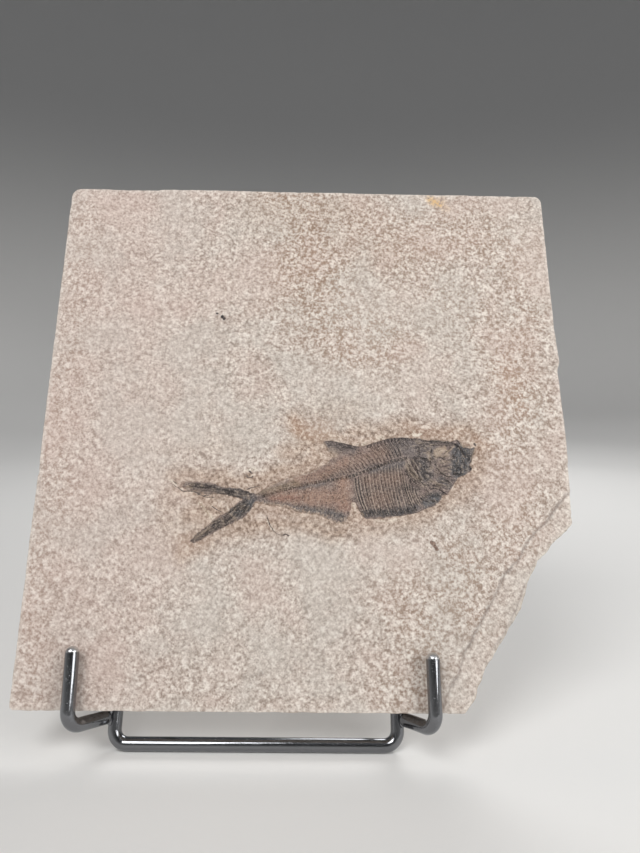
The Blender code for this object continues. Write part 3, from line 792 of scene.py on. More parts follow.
# %% The colour of bare rock, for the slab and for where it shows through the fish
def rock(place, brown=0.0, halo=0.0):
    """The rock's colour, its level from fleck to pale grain, and its coarse flecks."""
    turned = place.node("VectorRotate", {"rotation_type": "AXIS_ANGLE"},
                        {"Vector": place, "Axis": (0.8, 0.5, 0.33), "Angle": 0.9})
    shifted = place.node("VectorMath", {"operation": "ADD"}, {0: turned, 1: (37.0, 11.0, 5.0)})
    grains = turned.blotches(1.15, 4.0, 0.6)
    crumbs = shifted.blotches(2.5, 2.0, 0.6)
    clouds = shifted.blotches(26.0, 3.0, 0.6)
    swing = (grains - 0.5) * 2.3 + (shifted.blotches(0.62, 1.0) - 0.5) * 0.8
    swing = swing + (crumbs - 0.5) * 1.1
    level = 0.5 + swing * (1.04 + brown * 0.04)
    mud = level.ramp((0.05, colour(146, 131, 120)), (0.34, colour(182, 167, 156)),
                     (0.62, colour(205, 192, 182)), (0.95, colour(232, 223, 213)))
    mud = mud.layered(
        ((201, 178, 168), clouds.between(0.48, 0.66) * 0.30),
        ((192, 188, 180), clouds.between(0.52, 0.36) * 0.30),
        ((152, 124, 102), level.between(0.66, 0.10) * brown * 0.66))
    stain = level.ramp((0.05, colour(116, 94, 78)), (0.34, colour(154, 130, 112)),
                       (0.64, colour(184, 161, 144)), (0.95, colour(212, 193, 175)))
    return mud.over(stain, halo * 0.92), level, crumbs


print("the palest grain is", [round(c, 2) for c in colour(232, 223, 213)[:3]], "in linear light")

# %% The limestone's material
limestone, shader, attribute = new_material("limestone")
place = attribute("plane", "Vector")
side = attribute("side")
ground, level, crumbs = rock(place, attribute("brown"), attribute("halo"))

flattened = place.node("VectorMath", {"operation": "MULTIPLY"}, {0: place, 1: (0.06, 0.06, 1.1)})
layers = flattened.blotches(1.0, 3.0, 0.6)      # bedding, which shows on the sides
ground = ground.layered(
    ((205, 180, 172), attribute("pink") * 0.22),
    ((208, 199, 190), attribute("pale") * 0.28),
    ((172, 132, 104), attribute("rust") * level.between(1.0, 0.25) * 0.6),
    ((214, 170, 92), attribute("yellow") * level.between(0.2, 0.7) * 0.75),
    ((210, 201, 192), attribute("shelf") * 0.14),
    # painted shade along the ledges, where the step's face is in shadow
    ((128, 117, 112), attribute("ledge") * 0.6),
    # painted highlight on the slab's edges and sides
    ((226, 218, 208), attribute("rim") * (0.2 + level * 0.45)),
    ((236, 229, 214), attribute("chalk") * level.between(0.1, 0.7) * 0.9),
    ((70, 56, 48), attribute("dark") * 0.85),
    ((176, 158, 142), side * layers.between(0.50, 0.62) * 0.6))

relief = level * 0.5 + crumbs * 0.3 + place.blotches(0.4, 2.0, 0.6) * 0.35 + layers * side * 0.9
feed(shader, Base_Color=ground, Roughness=0.90 - level * 0.08, Normal=bump(relief, 0.2 * MM))
feed(shader, Specular_IOR_Level=0.35)

piece("slab_of_stone", slab_places, faces, limestone, ["stone_slab"], stone_masks)
print("limestone has", len(limestone.node_tree.nodes), "nodes")

# %% [markdown]
# ## The fish's skin
#
# What shows between the bones is a thin film of brown skin and crushed scales. It is pressed
# flat, but it is not flat: it swells along the middle of the body, it rises over each plate
# of the head, and its border frays into the rock. A sculpted surface would need a hand, so
# the relief is added up from drawn outlines, as on the slab. The film's edge dips under the
# rock, and where the two surfaces cross is the ragged border that one sees.

# %% The film, and the plates of the head
FISH_TOP = 0.1                          # how high the film stands just inside its border
FILM_LOW = -0.9                         # and how low it dips just outside
FILM_STEP = 0.25
FRAY = 0.5                              # how far the film runs on under the rock
PLATES = [                              # (rise, outline) of the head's bony plates
    (0.34, [(38.2, 86.6), (41.5, 87.2), (43.2, 85.6), (44.0, 82.6), (43.8, 79.4), (42.6, 77.2),
            (40.4, 77.0), (38.6, 78.8), (37.6, 81.6), (37.4, 84.4)]),
    (0.26, [(43.6, 86.9), (44.6, 83.4), (46.2, 80.6), (49.0, 78.9), (50.4, 78.2), (49.6, 77.2),
            (46.6, 78.2), (44.4, 80.2), (43.6, 83.2), (42.8, 86.4)]),
    (0.18, [(45.0, 86.4), (49.8, 87.0), (50.4, 84.0), (49.8, 81.2), (47.4, 80.6), (45.6, 82.2)]),
    (0.36, [(50.8, 88.6), (53.4, 91.4), (56.0, 90.6), (58.2, 88.6), (57.6, 85.8), (56.8, 83.4),
            (56.4, 81.8), (53.6, 80.6), (51.0, 80.4), (50.4, 83.6)]),
    (0.22, [(55.4, 90.4), (57.2, 90.5), (59.4, 90.9), (58.4, 87.2), (57.4, 85.0), (56.2, 86.2),
            (55.8, 88.6)]),
    (0.28, [(38.4, 94.0), (41.2, 93.0), (46.0, 93.2), (50.6, 92.8), (52.8, 93.4), (52.0, 91.6),
            (46.6, 91.6), (41.6, 91.2), (38.6, 92.2)]),
    (0.22, [(46.0, 78.0), (50.0, 77.4), (49.0, 74.8), (47.2, 75.2), (45.4, 75.9), (44.6, 77.0)]),
    (0.28, [(40.6, 73.6), (43.6, 74.2), (46.2, 73.4), (45.4, 70.8), (43.2, 69.4), (40.8, 69.6)]),
    (-0.30, [(43.9, 88.8), (45.2, 91.0), (48.6, 91.2), (50.4, 90.2), (49.6, 87.6), (46.4, 86.7)]),
]
print(len(PLATES), "plates in the head")

# %% Crumpled skin, and the skin's height
WRINKLES = [                            # (depth, angle, length, width, outline) of crumpled skin
    (0.20, -8, 3.0, 0.75, [(44.6, 86.6), (45.6, 80.4), (50.6, 79.6), (50.8, 87.2)]),
    (0.22, -60, 3.4, 0.80, [(32.8, 86.4), (34.0, 79.0), (38.6, 75.4), (43.0, 75.4), (38.4, 79.0),
                            (37.4, 86.4)]),
    (0.18, -52, 1.8, 0.80, [(37.6, 86.6), (38.2, 78.6), (42.8, 76.8), (44.2, 86.6)]),
    (0.11, 96, 2.0, 0.90, [(50.6, 80.0), (57.4, 81.6), (59.6, 91.0), (53.0, 91.8)]),
    (0.16, 4, 2.4, 0.80, [(36.6, 87.0), (43.2, 86.8), (43.2, 91.4), (51.0, 91.4), (51.8, 93.6),
                          (38.2, 94.4), (35.6, 94.4)]),
    (0.17, -24, 2.2, 0.75, [(41.4, 74.4), (47.0, 73.8), (51.6, 77.4), (50.6, 79.6), (41.4, 76.6)]),
    (0.08, -24, 2.2, 0.75, [(38.8, 68.0), (46.0, 71.0), (46.6, 73.6), (40.6, 74.0)]),
    (0.14, 172, 2.6, 0.80, [(-22.0, 70.6), (-34, 71.4), (-48.0, 73.6), (-48.0, 77.4), (-34, 75.6),
                            (-22.0, 73.8)]),
    (0.16, 223, 2.2, 0.80, [(-22.0, 66.0), (-34, 58.6), (-44.0, 54.0), (-44.0, 56.6),
                            (-31.0, 66.0), (-23.6, 71.4)]),
    (0.14, 66, 1.8, 0.70, [(-20.0, 71.0), (-19.0, 68.0), (10.0, 61.0), (14.0, 66.0), (2.0, 68.6)]),
    (0.06, 76, 2.4, 0.60, [(-16.0, 71.4), (2.0, 69.0), (13.6, 67.0), (14.0, 77.6), (-4.0, 75.0)]),
    (0.08, 138, 2.0, 0.60, [(-14.0, 74.0), (3.0, 78.4), (14.0, 80.4), (17.0, 90.0), (4.0, 84.0)]),
]


def heading(degrees):
    """The unit direction at an angle, anticlockwise from rightwards."""
    turn = math.radians(degrees)
    return np.array((math.cos(turn), math.sin(turn)))


def wrinkles(points):
    """Ridges and creases of crumpled skin, between -1 and 1 where they are deepest."""
    depth = np.zeros(len(points))
    for reach, angle, long, wide, outline in WRINKLES:
        near = soft(-0.5, 0.6, depth_in(points, outline))
        some = near > 0
        along = heading(angle)
        across = np.array((-along[1], along[0]))
        places = shaken(points[some], 0.35, 1.6)
        flat = np.column_stack((places @ along / long, places @ across / wide))
        depth[some] += near[some] * reach * 2.2 * lumps(flat, 1.0, 71.0)
    return np.clip(depth / 0.2, -1, 1)


def skin_height(points):
    """How high the skin stands at each point."""
    inside = into_fish(points)
    height = FILM_LOW + (FISH_TOP - FILM_LOW) * soft(-FRAY, 0.7, inside)
    height += 0.32 * soft(0.0, 8.0, inside)
    height += 0.09 * lumps(points, 2.6, 41.0) + 0.05 * lumps(points, 0.9, 42.0)
    for rise, outline in PLATES:
        near = depth_in(shaken(points, 0.18, 0.8), outline)
        height += rise * soft(-0.1, 0.4, near)
    return height + 0.2 * wrinkles(points) * soft(0.0, 0.8, inside)


print("the skin stands", skin_height(np.array([[5.0, 72.0]])).round(2), "mm high on the flank")

# %% Soot-black stains in the skin and the bones
CHAR_MARKS = [
    (0.6, 1.7, 0.7, [(-24.0, 72.9), (-28.0, 73.2), (-33.0, 73.3), (-36.0, 74.7), (-38.6, 75.3)]),
    (0.4, 2.2, 0.8, [(-36.0, 74.6), (-40.0, 74.8), (-44.0, 75.2)]),
    (0.6, 1.0, 0.6, [(-34.0, 72.8), (-31.4, 72.2), (-27.6, 71.8)]),
    (0.7, 1.0, 0.6, [(-44.2, 74.4), (-42.0, 74.6), (-39.8, 74.2)]),
    (0.5, 0.7, 0.5, [(-42.4, 76.2), (-40.8, 75.8)]),
    (0.4, 0.8, 0.6, [(-46.6, 76.2), (-45.4, 75.2)]),
    (0.6, 0.4, 0.3, [(-47.4, 73.4), (-45.0, 73.3), (-42.4, 73.1)]),
    (0.4, 4.4, 1.0, [(-22.6, 70.4), (-25, 67.8), (-27.2, 65.6)]),
    (0.8, 0.6, 0.4, [(-22.0, 69.4), (-23.2, 67.0)]),
    (0.7, 2.6, 0.7, [(-29.2, 63.4), (-31.2, 62.4)]),
    (0.8, 2.4, 0.7, [(-33.4, 61.6), (-34.8, 61.0)]),
    (0.6, 0.6, 0.4, [(-36.0, 58.6), (-38.4, 57.4)]),
    (0.75, 0.55, 0.4, [(-38.6, 57.0), (-40.4, 55.6), (-42.2, 54.6)]),
    (0.7, 0.4, 0.3, [(-40.8, 58.2), (-42.6, 55.8), (-43.2, 55.2)]),
    (0.8, 0.8, 0.5, [(3.6, 92.6), (8, 92.2), (12, 91.3), (16, 90.4)]),
    (0.9, 0.7, 0.4, [(9.6, 90.8), (12.4, 90.2), (15.2, 89.5)]),
    (0.3, 2.0, 0.8, [(5, 91.4), (12, 90.0)]),
    (0.55, 2.2, 0.9, [(17.6, 65.6), (22, 66.0), (30, 66.2), (36, 67.2)]),
    (0.5, 2.0, 0.8, [(31, 75.2), (36, 75.6), (38, 74.6)]),
    (0.6, 1.2, 0.6, [(20, 91.6), (26, 93.2), (32, 93.8), (38, 93.4)]),
    (0.55, 1.5, 0.6, [(41, 92.6), (46, 92.5), (51, 92.2)]),
    (0.8, 1.5, 0.9, [(52.0, 91.6), (53.6, 90.4), (55.0, 88.0)]),
    (0.35, 3.6, 1.4, [(52.6, 86.6), (53.4, 84.0), (52.6, 82.4)]),
    (0.8, 1.3, 0.5, [(57.2, 88.0), (57.2, 86.6)]),
    (0.9, 0.9, 0.4, [(57.2, 83.4), (57.6, 82.4)]),
    (0.8, 0.8, 0.5, [(51.0, 80.7), (53.8, 80.5)]),
    (0.6, 3.6, 1.2, [(39.6, 84.4), (40.2, 81.4), (41.6, 79.2)]),
    (0.8, 1.0, 0.6, [(36.4, 86.0), (37.6, 84.6), (39.2, 84.8)]),
    (0.6, 1.2, 0.8, [(35.2, 84.4), (35.8, 80.6), (38.4, 77.6), (41.4, 76.0)]),
    (0.55, 1.6, 0.9, [(44.8, 80.4), (47.4, 79.2), (50.6, 78.0)]),
    (0.8, 1.5, 0.7, [(41.8, 72.8), (44.8, 73.0), (45.8, 72.6)]),
    (0.6, 1.0, 0.6, [(43.0, 89.8), (42.8, 88.4)]),
    (0.5, 1.2, 0.6, [(43.4, 86.6), (44.6, 84.0)]),
    (0.5, 1.0, 0.6, [(51.0, 77.6), (49.6, 75.4)]),
    (0.45, 1.4, 0.9, [(-20, 71.0), (-14, 72.4)]),
    (0.55, 1.6, 0.8, [(9.6, 62.6), (10.4, 64.2)]),
]
print(len(CHAR_MARKS), "black stains")

# %% Coloured stains
SLATE_MARKS = [                         # blue-grey and greenish mineral
    (1.0, 8.0, 2.0, [(54.6, 88.6), (54.2, 85.6), (53.4, 82.6)]),
    (0.9, 2.6, 0.8, [(56.0, 89.6), (59.0, 90.2)]),
    (0.7, 5.0, 2.0, [(40.0, 85), (40.6, 80.0)]),
    (0.7, 2.8, 1.0, [(18, 65.6), (28, 66.0), (37, 68.0)]),
    (0.7, 2.6, 1.2, [(-18, 68.6), (-8, 67.6), (2, 66.2), (10, 64.4)]),
    (0.4, 3.4, 1.5, [(5, 91), (10, 89.4), (14, 89.0)]),
    (0.6, 1.2, 0.8, [(-5, 74.9), (0, 75.7), (4, 76.4)]),
    (0.6, 3.0, 1.5, [(20, 81.4), (26, 82.6), (32, 84.4)]),
    (0.95, 4.2, 1.4, [(40.6, 69.8), (44.4, 71.8)]),
    (0.6, 3.0, 1.4, [(46, 77.8), (49.4, 75.8)]),
    (0.5, 8.0, 3.0, [(32, 91), (38, 90), (42, 89.4)]),
    (0.6, 3.4, 1.2, [(-22, 70.8), (-28, 73.0), (-34, 73.6)]),
    (0.95, 4.4, 1.2, [(-23, 69.0), (-27.6, 65.6)]),
]
RUSTY_MARKS = [
    (0.95, 6.0, 2.2, [(-14, 70.6), (-6, 71.4), (2, 71.8), (9, 71.6)]),
    (0.95, 5.0, 2.0, [(10.6, 76.4), (10.6, 68.4)]),
    (0.8, 4.4, 2.0, [(-6, 78.0), (1, 79.4), (8, 82.6), (12, 85)]),
    (0.5, 6.0, 3.0, [(10, 84), (18, 86.4), (24, 88.0)]),
    (0.4, 5.0, 2.5, [(20, 78), (30, 78.5)]),
    (0.4, 5.0, 2.5, [(22, 71), (26, 72)]),
    (0.7, 2.4, 1.0, [(41.4, 56.0), (43.8, 53.4)]),
]
RED_MARKS = [(0.8, 1.5, 1.0, [(-14.6, 70.8), (-10, 71.0), (-6, 71.2)]),
             (0.35, 3.0, 2.0, [(8, 69), (12, 68)])]
OLIVE_MARKS = [(0.8, 2.4, 1.0, [(-20, 73.2), (-16, 73.9), (-11, 75.4), (-6, 76.6)]),
               (0.4, 3.0, 1.2, [(-25, 68.4), (-28.4, 66.0)])]
print(len(SLATE_MARKS + RUSTY_MARKS + RED_MARKS + OLIVE_MARKS), "coloured stains")

# %% Pale marks, and where the film is gone
CREAM_MARKS = [                         # bare rock and bleached bone
    (0.75, None, 0.5, [(44.0, 88.2), (44.5, 90.3), (46.6, 90.9), (48.6, 90.9), (48.4, 89.4),
                       (47.0, 88.2), (46.4, 87.2), (44.9, 86.9)]),
    (1.0, 0.5, 0.3, [(48.2, 91.0), (48.6, 89.9), (49.2, 89.3)]),
    (0.9, 0.4, 0.3, [(44.2, 89.4), (44.4, 87.6), (45.0, 86.6)]),
    (0.5, 1.1, 0.6, [(46.6, 87.5), (48.0, 87.3), (49.4, 87.9)]),
    (0.4, 0.8, 0.6, [(43.6, 87.8), (44.8, 86.2)]),
    (0.8, 0.45, 0.3, [(48.3, 88.2), (50.2, 89.9), (51.7, 91.3)]),
    (0.75, 0.8, 0.4, [(59.6, 90.6), (59.0, 88.6), (58.3, 86.9)]),
    (0.8, 0.7, 0.4, [(54.4, 92.4), (55.4, 91.0)]),
    (1.0, 1.0, 0.4, [(-41.1, 69.2), (-39.6, 67.5), (-38.2, 65.8), (-36.3, 63.5)]),
    (0.7, 0.35, 0.3, [(-30.6, 65.6), (-29.2, 64.7), (-28.2, 63.8), (-27.4, 62.8)]),
    (0.6, 0.35, 0.3, [(-33.0, 63.8), (-31.9, 62.4), (-31.8, 60.9)]),
    (0.6, 0.35, 0.3, [(-37.6, 60.6), (-35.8, 61.8), (-34.0, 63.2)]),
    (0.35, 1.3, 0.6, [(-37.0, 59.6), (-39.4, 58.2), (-41.4, 56.6)]),
    (0.5, 0.3, 0.3, [(-42.6, 56.0), (-41.0, 58.2)]),
    (0.7, 0.9, 0.5, [(-45.4, 74.7), (-44.2, 74.4)]),
    (0.55, 0.5, 0.4, [(-44.4, 75.6), (-43.0, 75.7)]),
    (0.5, 0.6, 0.5, [(-40.4, 76.0), (-40.2, 74.8)]),
    (0.55, 0.8, 0.6, [(-35.8, 72.3), (-33.6, 71.4)]),
    (0.5, 0.8, 0.5, [(-23.8, 72.0), (-23.2, 70.6)]),
    (0.5, 1.2, 0.6, [(42.0, 88.8), (42.4, 86.0)]),
    (0.45, 1.0, 0.6, [(42.4, 78.0), (45.6, 76.6)]),
    (0.5, 0.7, 0.4, [(46.8, 85.4), (49.8, 85.0)]),
    (0.45, 1.2, 0.7, [(34.0, 83.4), (36.6, 79.6), (38.8, 78.4)]),
    (0.6, 0.7, 0.4, [(17.2, 66.0), (17.8, 65.2)]),
    (0.4, 1.6, 0.8, [(-16, 68.6), (-10, 67.4)]),
    (0.35, 3.0, 1.2, [(6.4, 88.6), (7.2, 87.4)]),
]
BARE_MARKS = [                          # the film is gone here and there, and rock shows
    (1.0, 2.2, 1.3, [(-17.0, 75.4), (-10.0, 78.6), (-4.0, 80.6), (0.0, 82.4), (4.0, 84.8),
                     (6.4, 87.6)]),
    (0.9, 1.8, 1.0, [(-21.0, 68.2), (-12.0, 67.2), (-5.0, 65.4), (2.0, 64.4), (6.6, 62.6)]),
    (0.8, 2.2, 1.2, [(3.0, 90.6), (5.0, 88.4), (7.6, 87.2)]),
    (0.8, 0.8, 0.6, [(-44.6, 72.8), (-38.0, 71.9), (-31.0, 70.8)]),
    (0.5, 0.8, 0.5, [(-34.2, 72.7), (-32.6, 72.2), (-31.0, 72.0)]),
    (0.6, 1.0, 0.7, [(19.4, 63.6), (26.0, 64.2), (34.0, 65.0)]),
    (0.6, 0.9, 0.7, [(46.4, 71.8), (49.4, 73.2), (51.4, 76.6), (54.0, 79.6)]),
]
FRAYED_MARKS = [                        # borders that run out into the rock in fingers
    (1.0, 4.0, 1.0, [(-20.0, 69.0), (-12.0, 68.0), (-5.0, 66.0), (2.0, 64.9), (6.0, 63.3),
                     (9.0, 61.9), (12.0, 63.0)]),
    (0.8, 2.0, 0.8, [(-48.0, 75.6), (-46.0, 76.9), (-42.0, 77.0), (-38.0, 76.8)]),
    (0.8, 1.8, 0.8, [(-48.0, 74.2), (-42.0, 72.7), (-36.0, 71.8), (-30.0, 70.8)]),
    (0.7, 1.4, 0.8, [(-31.0, 66.4), (-37.0, 62.4), (-42.0, 57.8)]),
    (0.7, 1.2, 0.8, [(-42.6, 54.0), (-38.0, 56.6), (-34.0, 58.8)]),
    (0.9, 3.0, 1.0, [(-18.0, 75.0), (-10.0, 78.4), (0.0, 82.0), (6.0, 87.0)]),
    (0.8, 3.0, 1.0, [(3.0, 92.0), (5.0, 88.6), (7.6, 87.6)]),
]
GAP_MARKS = [(0.9, None, 0.6, [(14.2, 78.6), (20.6, 80.2), (27.4, 82.2), (33.2, 84.4),
                               (36.2, 78.6), (38.6, 75.4), (37.8, 69.4), (35.4, 66.6),
                               (27.0, 65.4), (18.0, 65.4), (16.6, 68.6), (14.6, 71.6)])]


print(len(CREAM_MARKS), "pale marks,", len(BARE_MARKS + FRAYED_MARKS), "bare or frayed borders")

# %% The fish's masks
FISH_STAINS = {                         # mask: (marks, fray, size of the fray's lumps)
    "char": (CHAR_MARKS, 0.25, 0.9), "slate": (SLATE_MARKS, 0.9, 2.2),
    "rusty": (RUSTY_MARKS, 1.0, 2.6), "red": (RED_MARKS, 0.6, 2.0),
    "cream": (CREAM_MARKS, 0.2, 0.8), "olive": (OLIVE_MARKS, 0.5, 1.6),
    "gap": (GAP_MARKS, 0.5, 1.5),
}


def fish_masks(points):
    """Every mask of the fossil's material that is drawn, at each point."""
    inside, crease = into_fish(points), wrinkles(points)
    frayed = stained(points, FRAYED_MARKS) * soft(1.5, 0.1, inside + 1.3 * crease)
    bare = np.maximum(stained(points, BARE_MARKS, 0.9, 1.4), 0.55 * soft(0.55, -0.1, inside))
    masks = {name: stained(points, *how) for name, how in FISH_STAINS.items()}
    # the wrinkles' depth, which the material turns into painted shade in the creases and a painted
    # highlight on the ridges
    return {**masks, "crease": crease, "bare": np.maximum(bare, 0.8 * frayed)}


print("masks of the fish:", ", ".join(fish_masks(np.array([[0.0, 72.0]]))))

# %% [markdown]
# ## The fossil's finish
#
# Fossil bone is glossier than rock, nearly black where mineral has filled it and the colour of
# tobacco where it has not. Skin is the same mineral, thinner and duller, so a little of the
# rock still shows through it. The two run into each other without a clear border, so one
# material does for both: each bone carries how solid it is, 1 on its crest and 0 at its foot,
# and its tone, from black at 0 to tan at 1. The skin carries neither, and reads as film.

# %% The material of skin and bone
fossil, shader, attribute = new_material("fossil")
place = attribute("plane", "Vector")
bare_rock, grain, _ = rock(place, 0.0, 0.75)
crumbs = place.blotches(0.60, 4.0, 0.78)
mottle = place.blotches(2.2, 3.0, 0.6)
solid = (attribute("solid") + (crumbs - 0.5) * 1.2).between(0.18, 0.50)

film = mottle.ramp((0.30, colour(110, 95, 91)), (0.70, colour(154, 137, 129)))
film = film.layered(((86, 72, 66), attribute("gap") * 0.46))
film = film.over(bare_rock, grain.between(0.45, 1.0) * 0.22)
tone = attribute("tone")
bone = tone.ramp((0.0, colour(41, 37, 39)), (1.0, colour(188, 170, 157)))
ground = film.over(bone, solid).layered(
    ((174, 138, 117), attribute("rusty") * (0.35 + mottle * 0.5)),
    ((142, 100, 88), attribute("red") * 0.6),
    ((140, 122, 96), attribute("olive") * 0.6),
    ((90, 94, 98), attribute("slate") * (0.84 - solid * (0.84 - tone * 0.6))),
    ((40, 38, 40), attribute("char") * (0.2 + crumbs * 1.1)))
bleached = bare_rock.over(colour(212, 190, 158), 0.45)
ground = ground.over(bleached, attribute("cream") * (0.35 + crumbs * 0.9))
crease = attribute("crease")
# Painted shade in the creases of the crumpled skin and a painted highlight on its ridges, then dark
# and pale specks.
ground = ground.layered(
    ((52, 45, 43), crease.between(-0.1, -0.7) * 0.62),
    ((178, 162, 146), crease.between(0.15, 0.8) * 0.42),
    ((43, 37, 38), crumbs.between(0.53, 0.63) * 0.80),
    ((200, 185, 173), crumbs.between(0.46, 0.35) * 0.64))
ground = ground.over(bare_rock, (attribute("bare") + (crumbs - 0.5) * 1.6).between(0.3, 0.8))
relief = crumbs * 0.8 + place.blotches(0.42, 2.0, 0.6) * 0.8
feed(shader, Base_Color=ground, Roughness=0.62 - solid * 0.16 + mottle * 0.2,
     Normal=bump(relief, 0.26 * MM))
feed(shader, Specular_IOR_Level=0.4)
print("fossil has", len(fossil.node_tree.nodes), "nodes")

# %% The skin's mesh
us, vs = np.array(FISH_OUTLINE).T
skin = grid((us.min() - 1, us.max() + 1, vs.min() - 1, vs.max() + 1), FILM_STEP)
skin = skin[into_fish(skin) > -FRAY]
skin_places = np.column_stack((skin, skin_height(skin)))
piece("fish_skin", skin_places, triangles(skin, longest=2.5 * FILM_STEP), fossil,
      ["fossil_fish"], fish_masks(skin))
print(len(skin), "points in the skin")

# %% [markdown]
# ## Bones
#
# A rib, a fin ray, a spine and the rim of a gill cover all come to the same thing: a low ridge
# along a line, thick where it starts and thin where it ends. So one function makes a bone from
# a path, a width, a height and a tone. Round rods would look like worms laid on the rock. A
# real bone was crushed into it, so the ridge's sides run out gently, its line and its width
# wander, and its top is uneven. A vertebra is a very short one with a waist.

# %% A bone along a line
BONE_SIDES = 9
BONE_SUNK = 0.06                        # its foot lies this far under the surface
BONE_HALF = 0.62                        # half its width, with the foot that runs out gently


def tapered(share):
    """Blunt at the start, fine at the end."""
    return min(1.0, share * 8 + 0.3) * (1 - share) ** 0.35


def even(share):
    """Of one width, with both ends blunt."""
    return min(1.0, share * 8 + 0.25, (1 - share) * 8 + 0.25)


def waisted(share):
    """Narrow in the middle, as a vertebra is."""
    return 0.62 + 0.38 * abs(2 * share - 1) ** 1.5


def bones(rows, lie_on, step):
    """Places, faces, tones and solidity of bones: (path, width, rise, tone, shape of width)."""
    lines = [shaken(walked(path, step), 0.11, 0.9) for path, *_ in rows]
    everywhere = np.vstack(lines)
    ground, uneven = lie_on(everywhere), lumps(everywhere, 0.45, 61.0)
    places, faces, tones, solid = [], [], [], []
    start = 0
    for line, (_, width, rise, tone, profile) in zip(lines, rows):
        across = -rightwards(np.gradient(line, axis=0))
        first = len(places)
        for i, (at, beside) in enumerate(zip(line, across)):
            size = profile(i / (len(line) - 1)) * (1 + 0.35 * uneven[start + i])
            crest = rise * size * (1 + 0.4 * uneven[start + i])
            for side in np.linspace(-1, 1, BONE_SIDES):
                lift = math.cos(math.pi / 2 * side) ** 1.6
                spot = at + beside * side * width * BONE_HALF * size
                stands = -BONE_SUNK + (crest + BONE_SUNK) * lift
                places.append((*spot, ground[start + i] + stands))
                tones.append(tone)
                solid.append(lift ** 0.7)
        for i in range(len(line) - 1):
            for side in range(BONE_SIDES - 1):
                a = first + i * BONE_SIDES + side
                faces.append((a, a + BONE_SIDES, a + BONE_SIDES + 1, a + 1))
        start += len(line)
    return np.array(places), faces, np.array(tones), np.array(solid)


print("half a vertebra's width, end to end:", [round(waisted(i / 4), 2) for i in range(5)])

# %% A piece of many bones
def bone_piece(name, rows, lie_on=skin_height, step=0.35, wear=0.5):
    """A piece of many bones; wear is how much of their crests has gone in patches."""
    places, faces, tones, solid = bones(rows, lie_on, step)
    flat = places[:, :2]
    worn = 1 - wear * soft(0.05, 0.6, lumps(flat, 1.0, 57.0))
    masks = {**fish_masks(flat), "tone": tones + (0.1 + 0.45 * wear) * lumps(flat, 0.8, 51.0),
             "solid": solid * worn}
    if lie_on is face_height:           # a scrap on bare rock is all bone
        masks["bare"] = np.zeros(len(flat))
    piece(name, places, faces, fossil, ["fossil_fish"], masks)
    print(name, "has", len(rows), "bones and", len(faces), "faces")


print("bones use the fossil's", len(fish_masks(np.zeros((1, 2)))) + 2, "masks")

# %% Splinters, and heights along a line
rng = np.random.default_rng(11)


def height_at(path, u):
    """The v of a path that runs left to right, at one u."""
    return float(np.interp(u, *np.asarray(path, float).T))


def splinters(count, patch, angle, spread, long, width, tones):
    """Short crushed bones scattered in a patch, lying about one way."""
    corners = np.array(patch, float)
    rows = []
    while len(rows) < count:
        middle = rng.uniform(corners.min(axis=0), corners.max(axis=0))
        if not within(middle[None], corners)[0]:
            continue
        reach = heading(angle + rng.normal(0, spread)) * long * rng.uniform(0.5, 1.0) / 2
        bow = np.array((-reach[1], reach[0])) * rng.normal(0, 0.25)
        path = [middle - reach, middle + bow, middle + reach]
        rows.append((path, width * rng.uniform(0.7, 1.2), 0.7 * width, rng.uniform(*tones),
                     tapered))
    return rows


print("a splinter:", splinters(1, [(0, 0), (1, 0), (0, 1)], 0, 5, 1, 0.3, (0, 1))[0][0])

# %% The backbone
BACKBONE = [
    (-19.0, 71.3), (-14.0, 73.0), (-8.7, 74.4), (-4.0, 75.7), (2.5, 77.2), (9.0, 78.2),
    (14.0, 79.3), (20.6, 82.0), (25.0, 83.8), (29.0, 85.2), (34.0, 86.2),
]
BACKBONE_FROM, BACKBONE_TO = -18.4, 33.5
TRUNK_FROM = 12                         # the vertebrae are shorter from here on
TAIL_PITCH, TRUNK_PITCH = 1.55, 1.28
vertebrae = []
u = BACKBONE_FROM
while u < BACKBONE_TO:
    pitch = TAIL_PITCH if u < TRUNK_FROM else TRUNK_PITCH
    long = pitch * rng.uniform(0.54, 0.68)
    high = (1.25 + 0.4 * soft(-18, 8, np.array(u))) * rng.uniform(0.85, 1.2)
    at, beyond = (u, height_at(BACKBONE, u)), (u + long, height_at(BACKBONE, u + long))
    tone = float(np.clip(rng.normal(0.05, 0.08), 0, 0.3))
    vertebrae.append(([at, beyond], float(high), 0.42, tone, waisted))
    gap = (beyond[0] + 0.12, beyond[1] + 0.05), (u + pitch - 0.12, height_at(BACKBONE, u + pitch))
    vertebrae.append((list(gap), float(high) * 0.9, 0.26, 0.95, even))
    u += pitch
bone_piece("fish_backbone", vertebrae, step=0.16, wear=0.1)

# %% Ribs
SHOULDER = [(30.0, 90.0), (31.5, 83.0), (34.0, 78.0), (36.0, 75.0)]
UNDERSIDE = list(reversed(BELLY)) + [HEAD_UNDER[-1]]
RIBS = 20
FIRST_RIB_U, RIB_PITCH = 14.4, 1.15
RIB_CURVE = [(0, 0), (0.15, 0.02), (0.33, 0.12), (0.5, 0.27), (0.67, 0.46), (0.85, 0.74), (1, 1)]
# The dark line beside each rib is partly the dark seam between the fossil's ribs and partly painted
# shade between them.
RIB_LINES = (                           # (shift, width, rise, tone): a pale rib, a dark gap
    (0.0, 0.46, 0.28, 0.74), (0.56, 0.40, 0.10, 0.04),
)
ribs = []
for i in range(RIBS):
    u = FIRST_RIB_U + i * RIB_PITCH + rng.normal(0, 0.06)
    sweep = 3.0 + 0.5 * math.sin(i * 0.9)
    for shift, width, rise, tone in RIB_LINES:
        top = min(height_at(BACKBONE, u + shift) - 1.0, height_at(SHOULDER, u + shift))
        deep = top - height_at(UNDERSIDE, u + shift + sweep) - (1.6 if i % 3 else 2.3)
        path = [(u + shift + sweep * bow, top - deep * share) for share, bow in RIB_CURVE]
        path = path[:len(path) - (rng.random() < 0.25)]
        ribs.append((path, width * rng.uniform(0.8, 1.2), rise, tone + rng.normal(0, 0.1), even))
